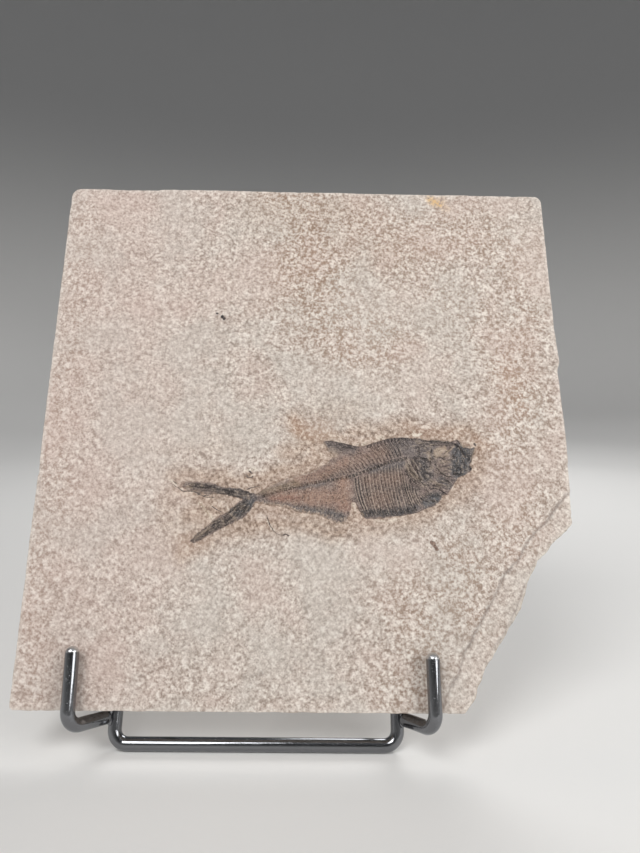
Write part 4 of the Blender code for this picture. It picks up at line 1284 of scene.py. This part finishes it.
for i in range(15):                     # the belly's keeled scutes, slanting the same way
    u = 17.4 + i * 1.35
    foot = height_at(UNDERSIDE, u + 0.7) + 0.6
    ribs.append(([(u, foot + 2.0), (u + 0.35, foot + 1.0), (u + 0.8, foot)], 0.5, 0.28,
                 0.42 if i % 2 else 0.15, even))
ribs += splinters(46, [(17.5, 64.8), (27, 65.2), (36, 66.4), (38, 68.6), (27, 67.8), (18, 67.4)],
                  -64, 12, 1.6, 0.3, (0.0, 0.8))
bone_piece("fish_ribs", ribs)

# %% Spines above and below the backbone, and the scutes of the back
SPINES = 24
spines = []
for i in range(SPINES):
    share = i / (SPINES - 1)
    u = 4.0 + i * 1.22
    foot = np.array((u, height_at(BACKBONE, u) + 0.95))
    lean = heading(150 - 34 * share + rng.normal(0, 1.5))
    reach = 3.2 + 4.2 * share
    path = np.array((foot, foot + lean * reach / 2 + (0.25, 0.35), foot + lean * reach))
    spines.append((path, 0.46, 0.24, 0.02 + 0.2 * (1 - share), tapered))
    spines.append((path + (0.62, 0.0), 0.34, 0.14, 0.72, tapered))
for i in range(11):                     # the free spines under the back's edge
    u = 20.5 + i * 1.3
    edge_v = height_at(NAPE, u) - 0.9
    spines.append(([(u, edge_v), (u + 0.9, edge_v - 1.6), (u + 2.2, edge_v - 3.4)], 0.42, 0.26,
                   0.12, tapered))
for i in range(21):                     # the tail's spines
    u = -16.5 + i * 1.4
    v = height_at(BACKBONE, u)
    down = 1.8 + 0.07 * (u + 16)
    spines.append(([(u, v - 0.7), (u - 0.9, v - down)], 0.22, 0.12, 0.55, tapered))
    spines.append(([(u, v + 0.7), (u - 1.3, v + 0.7 * down)], 0.22, 0.12, 0.4, tapered))
for i in range(15):                     # the scutes along the back's edge
    u = 19.6 + i * 1.28
    v = height_at(NAPE, u) - 0.55
    spines.append(([(u - 0.2, v + 0.5), (u, v), (u + 0.25, v - 0.8)], 0.6, 0.32, 0.03, tapered))
spines += splinters(70, [(14, 85), (28, 86.4), (37, 88), (37, 93.4), (28, 93), (22, 91.2),
                         (15, 89.8)], 126, 9, 2.0, 0.28, (0.1, 0.65))
spines += splinters(130, [(-15, 69.6), (12, 65.6), (13.5, 77), (-4, 75)], 76, 8, 2.2, 0.22,
                    (0.1, 0.9))
spines += splinters(60, [(-12, 76), (2, 78.6), (13, 81), (14, 88.6), (4, 85)], 140, 9, 2.2, 0.22,
                    (0.1, 0.9))
bone_piece("fish_spines", spines, step=0.3)

# %% Fins and tail
UPPER_LOBE = (
    [(-22.6, 73.0), (-26.0, 74.0), (-33.4, 74.5), (-38.0, 76.1), (-46.0, 76.3)],
    [(-23.0, 71.4), (-28.0, 71.4), (-33.0, 72.6), (-39.0, 73.2), (-46.8, 74.6)],
)
LOWER_LOBE = (
    [(-24.6, 70.2), (-28.4, 67.6), (-30.6, 65.2), (-35.4, 62.4), (-38.0, 60.0), (-43.0, 55.6)],
    [(-22.2, 68.0), (-24.4, 65.1), (-28.6, 62.2), (-33.8, 59.6), (-37.0, 57.8), (-41.8, 55.0)],
)
fins = []
for lobe, rays in ((UPPER_LOBE, 5), (LOWER_LOBE, 6)):
    outer, inner = (walked(side, 1.4) for side in lobe)
    count = min(len(outer), len(inner))
    outer, inner = (side[np.linspace(0, len(side) - 1, count).round().astype(int)]
                    for side in (outer, inner))
    for ray in range(rays):
        share = (ray + 0.5) / rays
        line = outer + (inner - outer) * share + rng.normal(0, 0.06, (count, 2))
        ends = 1 if ray in (0, rays - 1) else rng.integers(1, 4)
        fins.append((line[:count - ends + 1], 0.34, 0.12, 0.1 + 0.5 * rng.random(), even))
FRINGE = list(reversed(ANAL_FIN))
for i in range(30):                     # rays of the fin under the body
    u = -18.5 + i * 0.98
    low_v = height_at(FRINGE, u) + 0.25
    fins.append(([(u + 1.3, low_v + 2.6), (u + 0.5, low_v + 1.3), (u, low_v)], 0.30, 0.16,
                 0.3 + 0.3 * rng.random(), tapered))
for i in range(7):                      # rays of the fin on the back
    start, stop = (15.4 - 0.9 * i, 90.2 - 0.42 * i), (3.8 + 0.5 * i, 92.5 - 0.75 * i)
    middle = (9.6 - 0.2 * i, 91.9 - 0.62 * i)
    fins.append(([start, middle, stop], 0.42, 0.24, 0.06 + 0.09 * i, tapered))
fins += splinters(48, [(-24, 71.6), (-34, 72.8), (-45, 74.8), (-45, 76.2), (-34, 74.2),
                       (-24, 73.4)], 172, 14, 2.2, 0.4, (0.0, 0.42))
fins += splinters(56, [(-23, 67), (-33.8, 60), (-42, 55), (-42, 56.6), (-33, 64), (-25.5, 69.6)],
                  -140, 14, 2.2, 0.4, (0.0, 0.42))
fins += splinters(40, [(-18, 68.8), (-5, 66.4), (6, 64.2), (12, 63), (12, 65.6), (2, 68),
                       (-14, 69.6)], 70, 18, 1.4, 0.28, (0.1, 0.85))
bone_piece("fish_fins", fins)

# %% [markdown]
# ## The skull
#
# The plates are already in the skin's relief. What reads as a head are the lines: the black
# crest down the snout, the rim of the gill cover, the curved bone of the shoulder behind it,
# the jaw, and the ring of the eye. Each is drawn once, with its width and its tone.

# %% Ridges of the skull and shoulder
SKULL = [                               # (width, rise, tone, path)
    (0.80, 0.46, 0.00, [(51.6, 92.1), (52.7, 91.8), (53.5, 90.7), (54.5, 89.1), (55.5, 86.6)]),
    (0.65, 0.40, 0.00, [(52.8, 93.8), (53.4, 93.1), (54.1, 92.0)]),
    (0.45, 0.30, 0.85, [(53.7, 93.1), (54.5, 91.9), (55.4, 90.9), (56.6, 90.9)]),
    (0.80, 0.30, 0.16, [(38.2, 93.9), (41.0, 92.9), (46.0, 92.9), (50.4, 92.6)]),
    (0.50, 0.24, 0.30, [(41.4, 91.5), (44.4, 91.7), (48.0, 91.6), (50.6, 91.4)]),
    (0.50, 0.34, 0.00, [(42.2, 74.7), (43.5, 75.4), (45.0, 75.0), (46.5, 74.2), (48.3, 73.2)]),
    (0.40, 0.26, 0.05, [(38.0, 71.6), (39.6, 70.9), (41.5, 70.2)]),
    (0.34, 0.22, 0.05, [(42.6, 70.2), (43.9, 70.4)]),
    (0.70, 0.36, 0.22, [(33.8, 84.4), (34.9, 81.4), (36.8, 79.0), (39.0, 77.2), (41.4, 75.9)]),
    (0.42, 0.30, 0.80, [(35.4, 84.0), (36.3, 81.7), (37.4, 79.9), (38.8, 78.6)]),
    (0.42, 0.28, 0.70, [(34.2, 82.0), (35.8, 79.4), (38.0, 77.6), (40.0, 76.3)]),
    (0.36, 0.24, 0.10, [(33.0, 82.4), (34.4, 79.6), (36.4, 77.4), (39.0, 76.0)]),
    (0.50, 0.34, 0.04, [(36.0, 86.3), (36.9, 84.6), (37.6, 82.2), (37.8, 80.4)]),
    (0.45, 0.30, 0.06, [(36.6, 87.0), (38.0, 86.3), (39.4, 86.6), (41.4, 86.0)]),
    (0.40, 0.28, 0.85, [(42.0, 86.4), (42.9, 84.0), (44.0, 81.8), (45.8, 80.3)]),
    (0.40, 0.26, 0.12, [(43.4, 86.6), (44.4, 84.2), (45.6, 81.6), (48.0, 79.9), (50.6, 79.5)]),
    (0.40, 0.24, 0.75, [(44.0, 85.4), (45.2, 83.0), (46.4, 81.4)]),
    (0.34, 0.22, 0.62, [(45.6, 85.2), (47.6, 84.6), (49.8, 84.8)]),
    (0.34, 0.22, 0.58, [(45.6, 83.4), (47.6, 82.8), (49.8, 83.2)]),
    (0.34, 0.22, 0.62, [(46.4, 81.4), (48.2, 81.1), (50.2, 81.6)]),
    (0.40, 0.26, 0.45, [(44.6, 78.8), (47.2, 77.6), (49.8, 77.0)]),
    (0.36, 0.24, 0.12, [(44.2, 76.9), (45.4, 76.3), (46.4, 76.9)]),
    (0.40, 0.26, 0.08, [(43.1, 90.4), (43.3, 89.2), (42.8, 88.2)]),
    (0.40, 0.26, 0.82, [(41.0, 88.2), (42.0, 88.8), (42.4, 88.2)]),
    (0.34, 0.24, 0.88, [(48.3, 88.1), (50.1, 89.8), (51.7, 91.3)]),
    (0.34, 0.24, 0.15, [(47.6, 88.0), (49.4, 89.6), (50.6, 90.9)]),
    (0.36, 0.26, 0.12, [(43.8, 87.4), (45.4, 86.6), (47.4, 86.8), (49.0, 87.4)]),
    (0.60, 0.30, 0.00, [(50.9, 80.9), (52.4, 80.5), (53.8, 80.8)]),
    (0.75, 0.34, 0.00, [(57.1, 83.7), (57.4, 83.0), (57.7, 82.2)]),
    (0.40, 0.24, 0.55, [(53.2, 83.4), (54.4, 82.5), (56.0, 82.0)]),
    (0.50, 0.26, 0.02, [(51.9, 82.4), (52.5, 81.9)]),
    (0.40, 0.24, 0.10, [(50.6, 87.0), (52.0, 88.4), (52.8, 90.2)]),
    (0.36, 0.24, 0.55, [(54.0, 86.8), (54.8, 85.2), (55.0, 83.6)]),
    (0.50, 0.28, 0.16, [(59.0, 90.3), (58.5, 88.7), (57.9, 86.8), (57.2, 84.8)]),
    (0.40, 0.24, 0.72, [(59.6, 90.6), (59.1, 88.6), (58.4, 86.7)]),
    (0.45, 0.22, 0.10, [(55.4, 90.5), (57.2, 90.6), (59.8, 91.1)]),
    (0.36, 0.20, 0.50, [(35.8, 75.2), (36.2, 72.8), (37.4, 69.8), (38.6, 68.2)]),
    (0.36, 0.20, 0.60, [(37.0, 74.2), (37.8, 72.0), (39.4, 69.6)]),
    (0.36, 0.20, 0.45, [(38.4, 74.2), (39.6, 72.4), (40.8, 71.2)]),
    (0.34, 0.20, 0.18, [(40.0, 75.6), (41.0, 74.4), (41.6, 73.2)]),
    (0.40, 0.22, 0.15, [(38.0, 90.9), (40.0, 91.0), (41.8, 90.7)]),
    (0.34, 0.20, 0.20, [(38.6, 89.2), (39.8, 89.3), (40.8, 89.0)]),
]
skull = [(path, width, rise, tone, even) for width, rise, tone, path in SKULL]
print(len(skull), "ridges drawn in the skull and shoulder")

# %% Crushed bone between the ridges
CRUSHED = [                             # (count, patch, angle, spread, long, width, tones)
    (34, [(45, 80.6), (50, 80.6), (50.4, 86.6), (45, 86.6)], -8, 24, 2.0, 0.30, (0.0, 0.65)),
    (40, [(50.8, 80.8), (56.6, 82), (58, 88), (53.4, 91), (50.8, 88.4)], 104, 38, 1.6, 0.32,
     (0.0, 0.45)),
    (44, [(38, 78), (43.6, 78), (43.6, 86.6), (38.2, 86.4)], -58, 34, 1.5, 0.32, (0.0, 0.35)),
    (30, [(33.6, 76.4), (38.5, 77.6), (37.4, 86), (34, 87)], -62, 12, 2.6, 0.34, (0.0, 0.9)),
    (36, [(37, 87.4), (44, 87.6), (44, 92.4), (38, 93.4)], -12, 46, 1.4, 0.32, (0.0, 0.75)),
    (22, [(41.5, 76.4), (50, 78.4), (49, 74.8), (44, 75.6)], -22, 22, 1.8, 0.30, (0.05, 0.7)),
    (26, [(39.5, 68.6), (45.3, 71), (46, 73.4), (41, 74.4), (38.5, 71)], -25, 24, 1.9, 0.30,
     (0.0, 0.6)),
    (12, [(56, 85.5), (58.6, 87), (59, 90.4), (55.6, 90.2)], 72, 18, 1.6, 0.26, (0.1, 0.6)),
]
for patch in CRUSHED:
    skull += splinters(*patch)
bone_piece("fish_skull", skull, step=0.25, wear=0.25)

# %% Scraps that lie by themselves on the rock
SCRAPS = [
    (1.0, 0.22, 0.05, [(-39.2, 144.0), (-38.2, 143.7)]),
    (1.3, 0.26, 0.05, [(-37.2, 143.0), (-36.2, 142.2), (-35.5, 141.2)]),
    (1.3, 0.30, 0.40, [(41.3, 56.1), (42.1, 55.7), (42.9, 55.0)]),
    (0.9, 0.24, 0.10, [(42.3, 56.1), (43.3, 55.3)]),
    (1.1, 0.30, 0.24, [(42.6, 54.9), (43.4, 54.0), (43.9, 52.9)]),
    (0.6, 0.16, 0.36, [(-43.0, 72.9), (-41.8, 72.5), (-40.6, 72.4)]),
    (0.5, 0.16, 0.40, [(-42.0, 72.1), (-40.6, 71.8)]),
    (0.5, 0.14, 0.50, [(-39.6, 72.6), (-38.2, 72.3), (-36.8, 72.2)]),
    (0.45, 0.14, 0.38, [(-39.4, 71.7), (-37.6, 71.6)]),
    (0.80, 0.28, 0.20, [(59.1, 92.5), (59.7, 92.1), (59.9, 91.5)]),
    (0.40, 0.20, 0.90, [(54.0, 93.4), (54.8, 91.9), (55.6, 91.2), (57.4, 91.2), (59.0, 91.6)]),
    (0.38, 0.26, 0.22, [(-42.4, 73.0), (-45.0, 73.2), (-47.0, 73.1), (-48.4, 74.0), (-51.8, 76.2)]),
    (0.36, 0.26, 0.30, [(-49.4, 75.6), (-51.0, 77.0)]),
    (0.44, 0.20, 1.00, [(-41.1, 69.2), (-39.6, 67.5), (-38.2, 65.8), (-36.3, 63.5)]),
    (0.40, 0.28, 0.22, [(-36.6, 67.9), (-34.7, 66.8), (-32.6, 65.6)]),
    (0.40, 0.28, 0.25, [(-24.2, 74.0), (-22.4, 74.8), (-20.4, 75.2), (-19.2, 74.7)]),
    (0.36, 0.26, 0.30, [(-41.0, 71.9), (-38.4, 71.0), (-35.2, 70.9)]),
    (0.55, 0.26, 0.25, [(-23.7, 80.9), (-23.0, 80.4), (-22.3, 79.8)]),
    (0.50, 0.24, 0.34, [(-24.7, 79.7), (-24.3, 78.8), (-23.3, 78.4), (-22.3, 78.6),
                        (-21.9, 79.2)]),
    (0.40, 0.26, 0.26, [(-16.6, 64.8), (-16.0, 62.8), (-15.2, 60.9), (-13.8, 59.0), (-12.2, 57.9),
                        (-10.6, 57.8)]),
    (0.50, 0.28, 0.12, [(-10.8, 57.8), (-9.6, 58.1), (-8.4, 57.6)]),
]
scraps = [(path, width, rise, tone, even if width > 0.4 else tapered)
          for width, rise, tone, path in SCRAPS]
bone_piece("fish_scraps", scraps, lie_on=face_height, step=0.25)

# %% [markdown]
# ## The easel's wire
#
# The easel is four lengths of round wire, bent cold, welded together and then chromed. A
# bevelled curve would make the tube, but its ends would be flat discs with a knife edge. Here
# each length is a row of rings carried along its path, and the last few rings shrink, so that
# its end is a ground dome. Each length is flat, so the rings are turned by its own plane and
# never twist.

# %% A wire as rings along a path
WIRE = 4.76
WIRE_ROUND = WIRE / 2 * math.cos(math.pi / 12)      # inside the flats of the frame's wire
WIRE_SIDES = 32
TIP_DOME = 2.2
TIP_RINGS = 8
TIP_POINT = 1e-3                                    # the last ring is all but closed


def wire(path, closed=False):
    """Places and faces of a round wire along a flat path of 3-D points."""
    line = [Vector(point) for point in path]
    count = len(line)
    flat = sum(((b - a).cross(c - b) for a, b, c in zip(line, line[1:], line[2:])), Vector())
    flat.normalize()
    plain = [(0.0, WIRE_ROUND)]
    tip = [(TIP_DOME * (1 - math.cos(turn)), max(WIRE_ROUND * math.sin(turn), TIP_POINT))
           for turn in np.linspace(0, math.pi / 2, TIP_RINGS)]
    places = []
    for i, at in enumerate(line):
        ahead = line[(i + 1) % count] if closed or i < count - 1 else at
        behind = line[i - 1] if closed or i > 0 else at
        run = (ahead - behind).normalized()
        up = run.cross(flat)
        rings = plain
        if not closed and i == 0:
            rings = tip
        elif not closed and i == count - 1:
            rings = [(-shift, radius) for shift, radius in reversed(tip)]
        for shift, radius in rings:
            for side in range(WIRE_SIDES):
                angle = math.tau * side / WIRE_SIDES
                spoke = flat * math.cos(angle) + up * math.sin(angle)
                places.append(at + run * shift + spoke * radius)
    rings = len(places) // WIRE_SIDES
    faces = []
    for ring in range(rings if closed else rings - 1):
        after = (ring + 1) % rings
        for side in range(WIRE_SIDES):
            beside = (side + 1) % WIRE_SIDES
            faces.append((ring * WIRE_SIDES + side, ring * WIRE_SIDES + beside,
                          after * WIRE_SIDES + beside, after * WIRE_SIDES + side))
    return places, faces


elbow = bent([((0, 0, 0), 0), ((0, 9, 0), 4), ((9, 9, 0), 0)])
print("a bent wire has", len(wire(elbow)[1]), "faces")

# %% [markdown]
# ## Weld beads
#
# Where two wires touch, the welder left a small bright bead. A bead is a blob with a slightly
# lumpy skin, longer along the seam than across it. One function squashes and turns a ball of
# triangles for each, and all beads of a wire join its mesh.

# %% A bead on a seam
def bead(centre, along, long, wide, seed):
    """Places and faces of one weld bead; along is the direction of the seam."""
    shape = bmesh.new()
    bmesh.ops.create_icosphere(shape, subdivisions=3, radius=1.0)
    turn = Vector((0, 0, 1)).rotation_difference(Vector(along)).to_matrix()
    places = []
    for vertex in shape.verts:
        lumpy = 1 + 0.22 * noise.noise(vertex.co * 2.2 + Vector((seed, 0, 0)))
        local = Vector((vertex.co.x * wide, vertex.co.y * wide, vertex.co.z * long)) * lumpy
        places.append(Vector(centre) + turn @ local)
    faces = [tuple(corner.index for corner in face.verts) for face in shape.faces]
    shape.free()
    return places, faces


def joined(parts):
    """Several lots of places and faces as one lot."""
    places, faces = [], []
    for some_places, some_faces in parts:
        start = len(places)
        places += [tuple(place) for place in some_places]
        faces += [tuple(start + corner for corner in face) for face in some_faces]
    return np.array(places), faces


print("a bead has", len(bead((0, 0, 0), (0, 1, 0), 3, 1, 0)[1]), "faces")

# %% [markdown]
# ## Chrome
#
# Chrome plating has no colour pattern at all: what one sees in it is the room. What makes it
# read as real is that it is not a perfect mirror. The bent wire keeps faint lengthwise
# drawing lines, the plating has a very slight orange peel, and finger marks dull it in
# patches. So the shader is plain metal, and noise moves its roughness and its normal a
# little. A full mirror on a pale floor would turn white, so the plate reflects only about a
# fifth of the light, and the wire stays dark between its highlights. The filed ends of the
# hooks are paler than the plate, and less glossy.

# %% The bright wire's material
PLATED = (0.21, 0.214, 0.225, 1.0)
FILED = (0.62, 0.62, 0.62, 1.0)

chrome, shader, attribute = new_material("chrome")
place = attribute("plane", "Vector")
smears = place.blotches(7.0, 3.0, 0.6)
peel = place.blotches(0.9, 1.0)
pits = place.blotches(0.35, 0.0).between(0.72, 0.80)
ground_end = attribute("ground_end")
filed = place.blotches(0.5, 2.0, 0.7)
plate = place.node("Mix", {"data_type": "RGBA"},
                   {MIX_MASK: ground_end, MIX_UNDER: PLATED, MIX_OVER: FILED}, MIX_RESULT)
feed(shader, Metallic=1.0, Base_Color=plate)
feed(shader, Roughness=0.07 + smears.between(0.45, 0.75) * 0.10 + pits * 0.25
     + ground_end * 0.22, Normal=bump(peel * 0.6 + pits * -0.8 + filed * ground_end * 6,
                                      0.02 * MM))
print("chrome has", len(chrome.node_tree.nodes), "nodes")

# %% The easel's measures, and a length of wire with its beads
BEND = 4.6
BACK_BEND = 14.0
SIDE_LEFT_U, SIDE_RIGHT_U = -66.7, 29.8
FRAME_W = -12.4
FOOT_V = -11.5
FRAME_TOP_V = 122.0
HOOK_W = 3.9
HOOK_V = -4.5
ARM_END_V = -2.4
HOOKS = {                               # name: (side, prong's foot, prong's tip, tip's height)
    "easel_hook_left": (SIDE_LEFT_U, -77.6, -78.6, 20.3),
    "easel_hook_right": (SIDE_RIGHT_U, 40.2, 40.0, 19.3),
}
LEG_LEAN = math.radians(25.5)
LEG_MEETS_V = 96.0
GAP = 0.3
NO_TIP = 1000.0                         # higher than any wire


def wire_piece(name, parts, plane=True, top=NO_TIP):
    """One length of wire with its beads; its end at the height top is filed round."""
    places, faces = joined(parts)
    masks = {"ground_end": soft(top - 2.0, top - 1.7, places[:, 1])}
    piece(name.replace("easel", "wire"), places, faces, chrome, [name], masks,
          plane=plane)


print("the frame is", SIDE_RIGHT_U - SIDE_LEFT_U + WIRE, "mm wide over its wires")

# %% The frame and its hooks
loop = bent([((SIDE_LEFT_U, FOOT_V, FRAME_W), BEND), ((SIDE_RIGHT_U, FOOT_V, FRAME_W), BEND),
             ((SIDE_RIGHT_U, FRAME_TOP_V, FRAME_W), BACK_BEND),
             ((SIDE_LEFT_U, FRAME_TOP_V, FRAME_W), BACK_BEND)], closed=True)
butt_weld = bead((-38.0, FRAME_TOP_V, FRAME_W), (1, 0, 0), 1.1, WIRE_ROUND + 0.12, 3)
wire_piece("easel_frame", [wire(loop, closed=True), butt_weld])

for name, (side_u, foot_u, tip_u, tip_v) in HOOKS.items():
    foot = Vector((foot_u, HOOK_V, HOOK_W))
    arm = Vector((side_u, ARM_END_V, FRAME_W)) - foot
    root = foot + arm * (1 - (WIRE / 2 + GAP) / arm.length)
    path = bent([(root, 0), (foot, BEND), (Vector((tip_u, tip_v, HOOK_W)), 0)])
    seam = root + arm.normalized() * 0.1
    beads = [bead(seam + Vector((0, rise, 0)), (0, 1, 0), 1.5, 0.9, rise) for rise in (-1.5, 1.5)]
    wire_piece(name, [wire(path), *beads], top=tip_v)
    print("the arm of", name, "is", round(arm.length, 1), "mm long")

# %% The rear leg
weld_y, weld_z = (TOE + np.array([0, LEG_MEETS_V, FRAME_W]) @ AXES)[1:]
leg_high = weld_z - WIRE_ROUND
leg_foot = Vector((TOE[0], weld_y + leg_high * math.tan(LEG_LEAN), WIRE_ROUND))
leg_up = Vector((0, -math.sin(LEG_LEAN), math.cos(LEG_LEAN)))
leg_long = leg_high / math.cos(LEG_LEAN) + 0.8
left, right = SIDE_LEFT_U + WIRE + GAP, SIDE_RIGHT_U - WIRE - GAP
corners = [((left, leg_long), 0), ((left, 0), BEND), ((right, 0), BEND), ((right, leg_long), 0)]
path = bent([(leg_foot + Vector((u, 0, 0)) + leg_up * up, radius)
             for (u, up), radius in corners])
beads = []
for u, side in ((left, -1), (right, 1)):
    seam = leg_foot + Vector((u + side * (WIRE + GAP) / 2, 0, 0)) + leg_up * (leg_long - 2.2)
    for shift in (-1, 1):
        off = Vector((0, shift * 1.2, 0))
        beads.append(bead(seam + off, leg_up, 1.6, 0.7, side + shift))
wire_piece("easel_rear_leg", [wire(path), *beads], plane=False)
print("the rear leg is", round(leg_long, 1), "mm long and its foot is at y =",
      round(leg_foot.y, 2), "mm")

# %% [markdown]
# ## A pale floor that turns up into the background
#
# A flat floor would end in a hard horizon. A photographer's sweep is a sheet that curves up
# behind the object. Here it curves up all the way round, like a wide bowl, so the background
# stays plain from every side, and its rim is dyed a darker grey, which the chrome mirrors.
# It is one profile, turned about the object.

# %% The bowl
SWEEP = [                               # distance from the middle and height, in metres
    (0.0, 0.0), (0.12, 0.0), (0.3, 0.0), (0.6, 0.0), (0.9, 0.0), (1.15, 0.02), (1.35, 0.09),
    (1.5, 0.22), (1.6, 0.42), (1.65, 0.7), (1.66, 1.1), (1.66, 1.6),
]
SWEEP_SIDES = 96
FLOOR_GREY = (0.80, 0.79, 0.77, 1.0)
RIM_GREY = (0.30, 0.30, 0.30, 1.0)

shape = bmesh.new()
profile = [shape.verts.new((reach, 0.0, up)) for reach, up in SWEEP]
for before, after in zip(profile, profile[1:]):
    shape.edges.new((before, after))
bmesh.ops.spin(shape, geom=shape.verts[:] + shape.edges[:], axis=(0, 0, 1), cent=(0, 0, 0),
               steps=SWEEP_SIDES, angle=math.tau, use_duplicate=False)
bmesh.ops.remove_doubles(shape, verts=shape.verts, dist=1e-5)
bmesh.ops.recalc_face_normals(shape, faces=shape.faces)
mesh = bpy.data.meshes.new("sweep")
shape.to_mesh(mesh)
shape.free()
mesh.shade_smooth()
sweep = in_scene("sweep", mesh)
paper, shader, _ = new_material("paper")
place = Value(shader.outputs["BSDF"]).node("TexCoord", output="Object")
tooth = place.blotches(0.003, 3.0)
climb = place.node("SeparateXYZ", None, {"Vector": place}, output=2).between(0.05, 0.9)
dye = climb.ramp((0.0, FLOOR_GREY), (1.0, RIM_GREY))
feed(shader, Base_Color=dye, Roughness=0.9, Normal=bump(tooth, 0.0002, 0.3))
mesh.materials.append(paper)
sweep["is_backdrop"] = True
print("the bowl is", round(sweep.dimensions.x, 2), "m across")

# %% [markdown]
# ## Soft light from the left and above
#
# A large panel close by gives soft shadows, and from the upper left it rakes across the face
# just enough to show the ledge and the pared rock. A weaker panel on the right keeps the
# shadows open, and one behind picks out the top edge and the wire. The world adds a low grey
# from everywhere, so that the chrome has something dark to reflect.

# %% Panels and world
def panel(name, place, aim, size, watts):
    """A lit panel at a place in the frame, turned to shine at the aim."""
    light = bpy.data.lights.new(name, "AREA")
    light.shape = "RECTANGLE"
    light.size, light.size_y = size
    light.energy = watts
    made = in_scene(name, light)
    made.location = place
    made.rotation_euler = (Vector(aim) - Vector(place)).to_track_quat("-Z", "Y").to_euler()
    made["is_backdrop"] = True


MIDDLE = (0.0, -0.01, 0.10)
panel("key", (-0.40, -0.78, 0.95), MIDDLE, (0.6, 0.6), 8.1)
panel("fill", (0.80, -0.60, 0.50), MIDDLE, (0.6, 0.6), 5.4)
panel("rear", (0.25, 0.75, 0.70), MIDDLE, (0.6, 0.4), 4.0)

world = bpy.data.worlds.new("room")
world.use_nodes = True
sky = world.node_tree.nodes["Background"]
sky.inputs["Color"].default_value = (0.82, 0.84, 0.88, 1.0)
sky.inputs["Strength"].default_value = 0.27
bpy.context.scene.world = world
bpy.context.scene.view_settings.view_transform = "Standard"

# %% [markdown]
# ## The camera
#
# It stands in front of the easel, a little higher than the slab's middle, and looks down by
# about four degrees. It is tipped about one degree sideways, so the slab's edges are not quite
# square to the picture.

# %% Camera
LENS, SENSOR = 27.01, 36.0
NEAREST, FARTHEST = 0.01, 20.0
EYE = Vector((2.56, -247.4, 125.45)) * MM
FORWARD = np.array((0.01376, 0.29339, -0.95590)) @ AXES
RIGHT = np.array((0.99980, 0.00969, 0.01736)) @ AXES

camera = in_scene("camera", bpy.data.cameras.new("camera"))
camera.data.lens, camera.data.sensor_width = LENS, SENSOR
camera.data.clip_start, camera.data.clip_end = NEAREST, FARTHEST
back = -Vector(FORWARD).normalized()
across = (Vector(RIGHT) - back * Vector(RIGHT).dot(back)).normalized()
camera.matrix_world = Matrix.Translation(EYE) @ Matrix(
    (across, back.cross(across), back)).transposed().to_4x4()
bpy.context.scene.camera = camera
print("the camera looks down by", round(math.degrees(math.asin(back.z)), 1), "degrees")

# %% [markdown] ## Sizes The frame's box and the dressed model's box, side by side.
# The dressed model must keep the frame's box.

# %% Print the sizes
shown_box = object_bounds()
boxes = {"cad": [list(corner) for corner in cad_box],
         "visual": [list(corner) for corner in shown_box]}
for name, (lowest, highest) in boxes.items():
    print(name, [round(a / MM, 2) for a in lowest], [round(a / MM, 2) for a in highest])
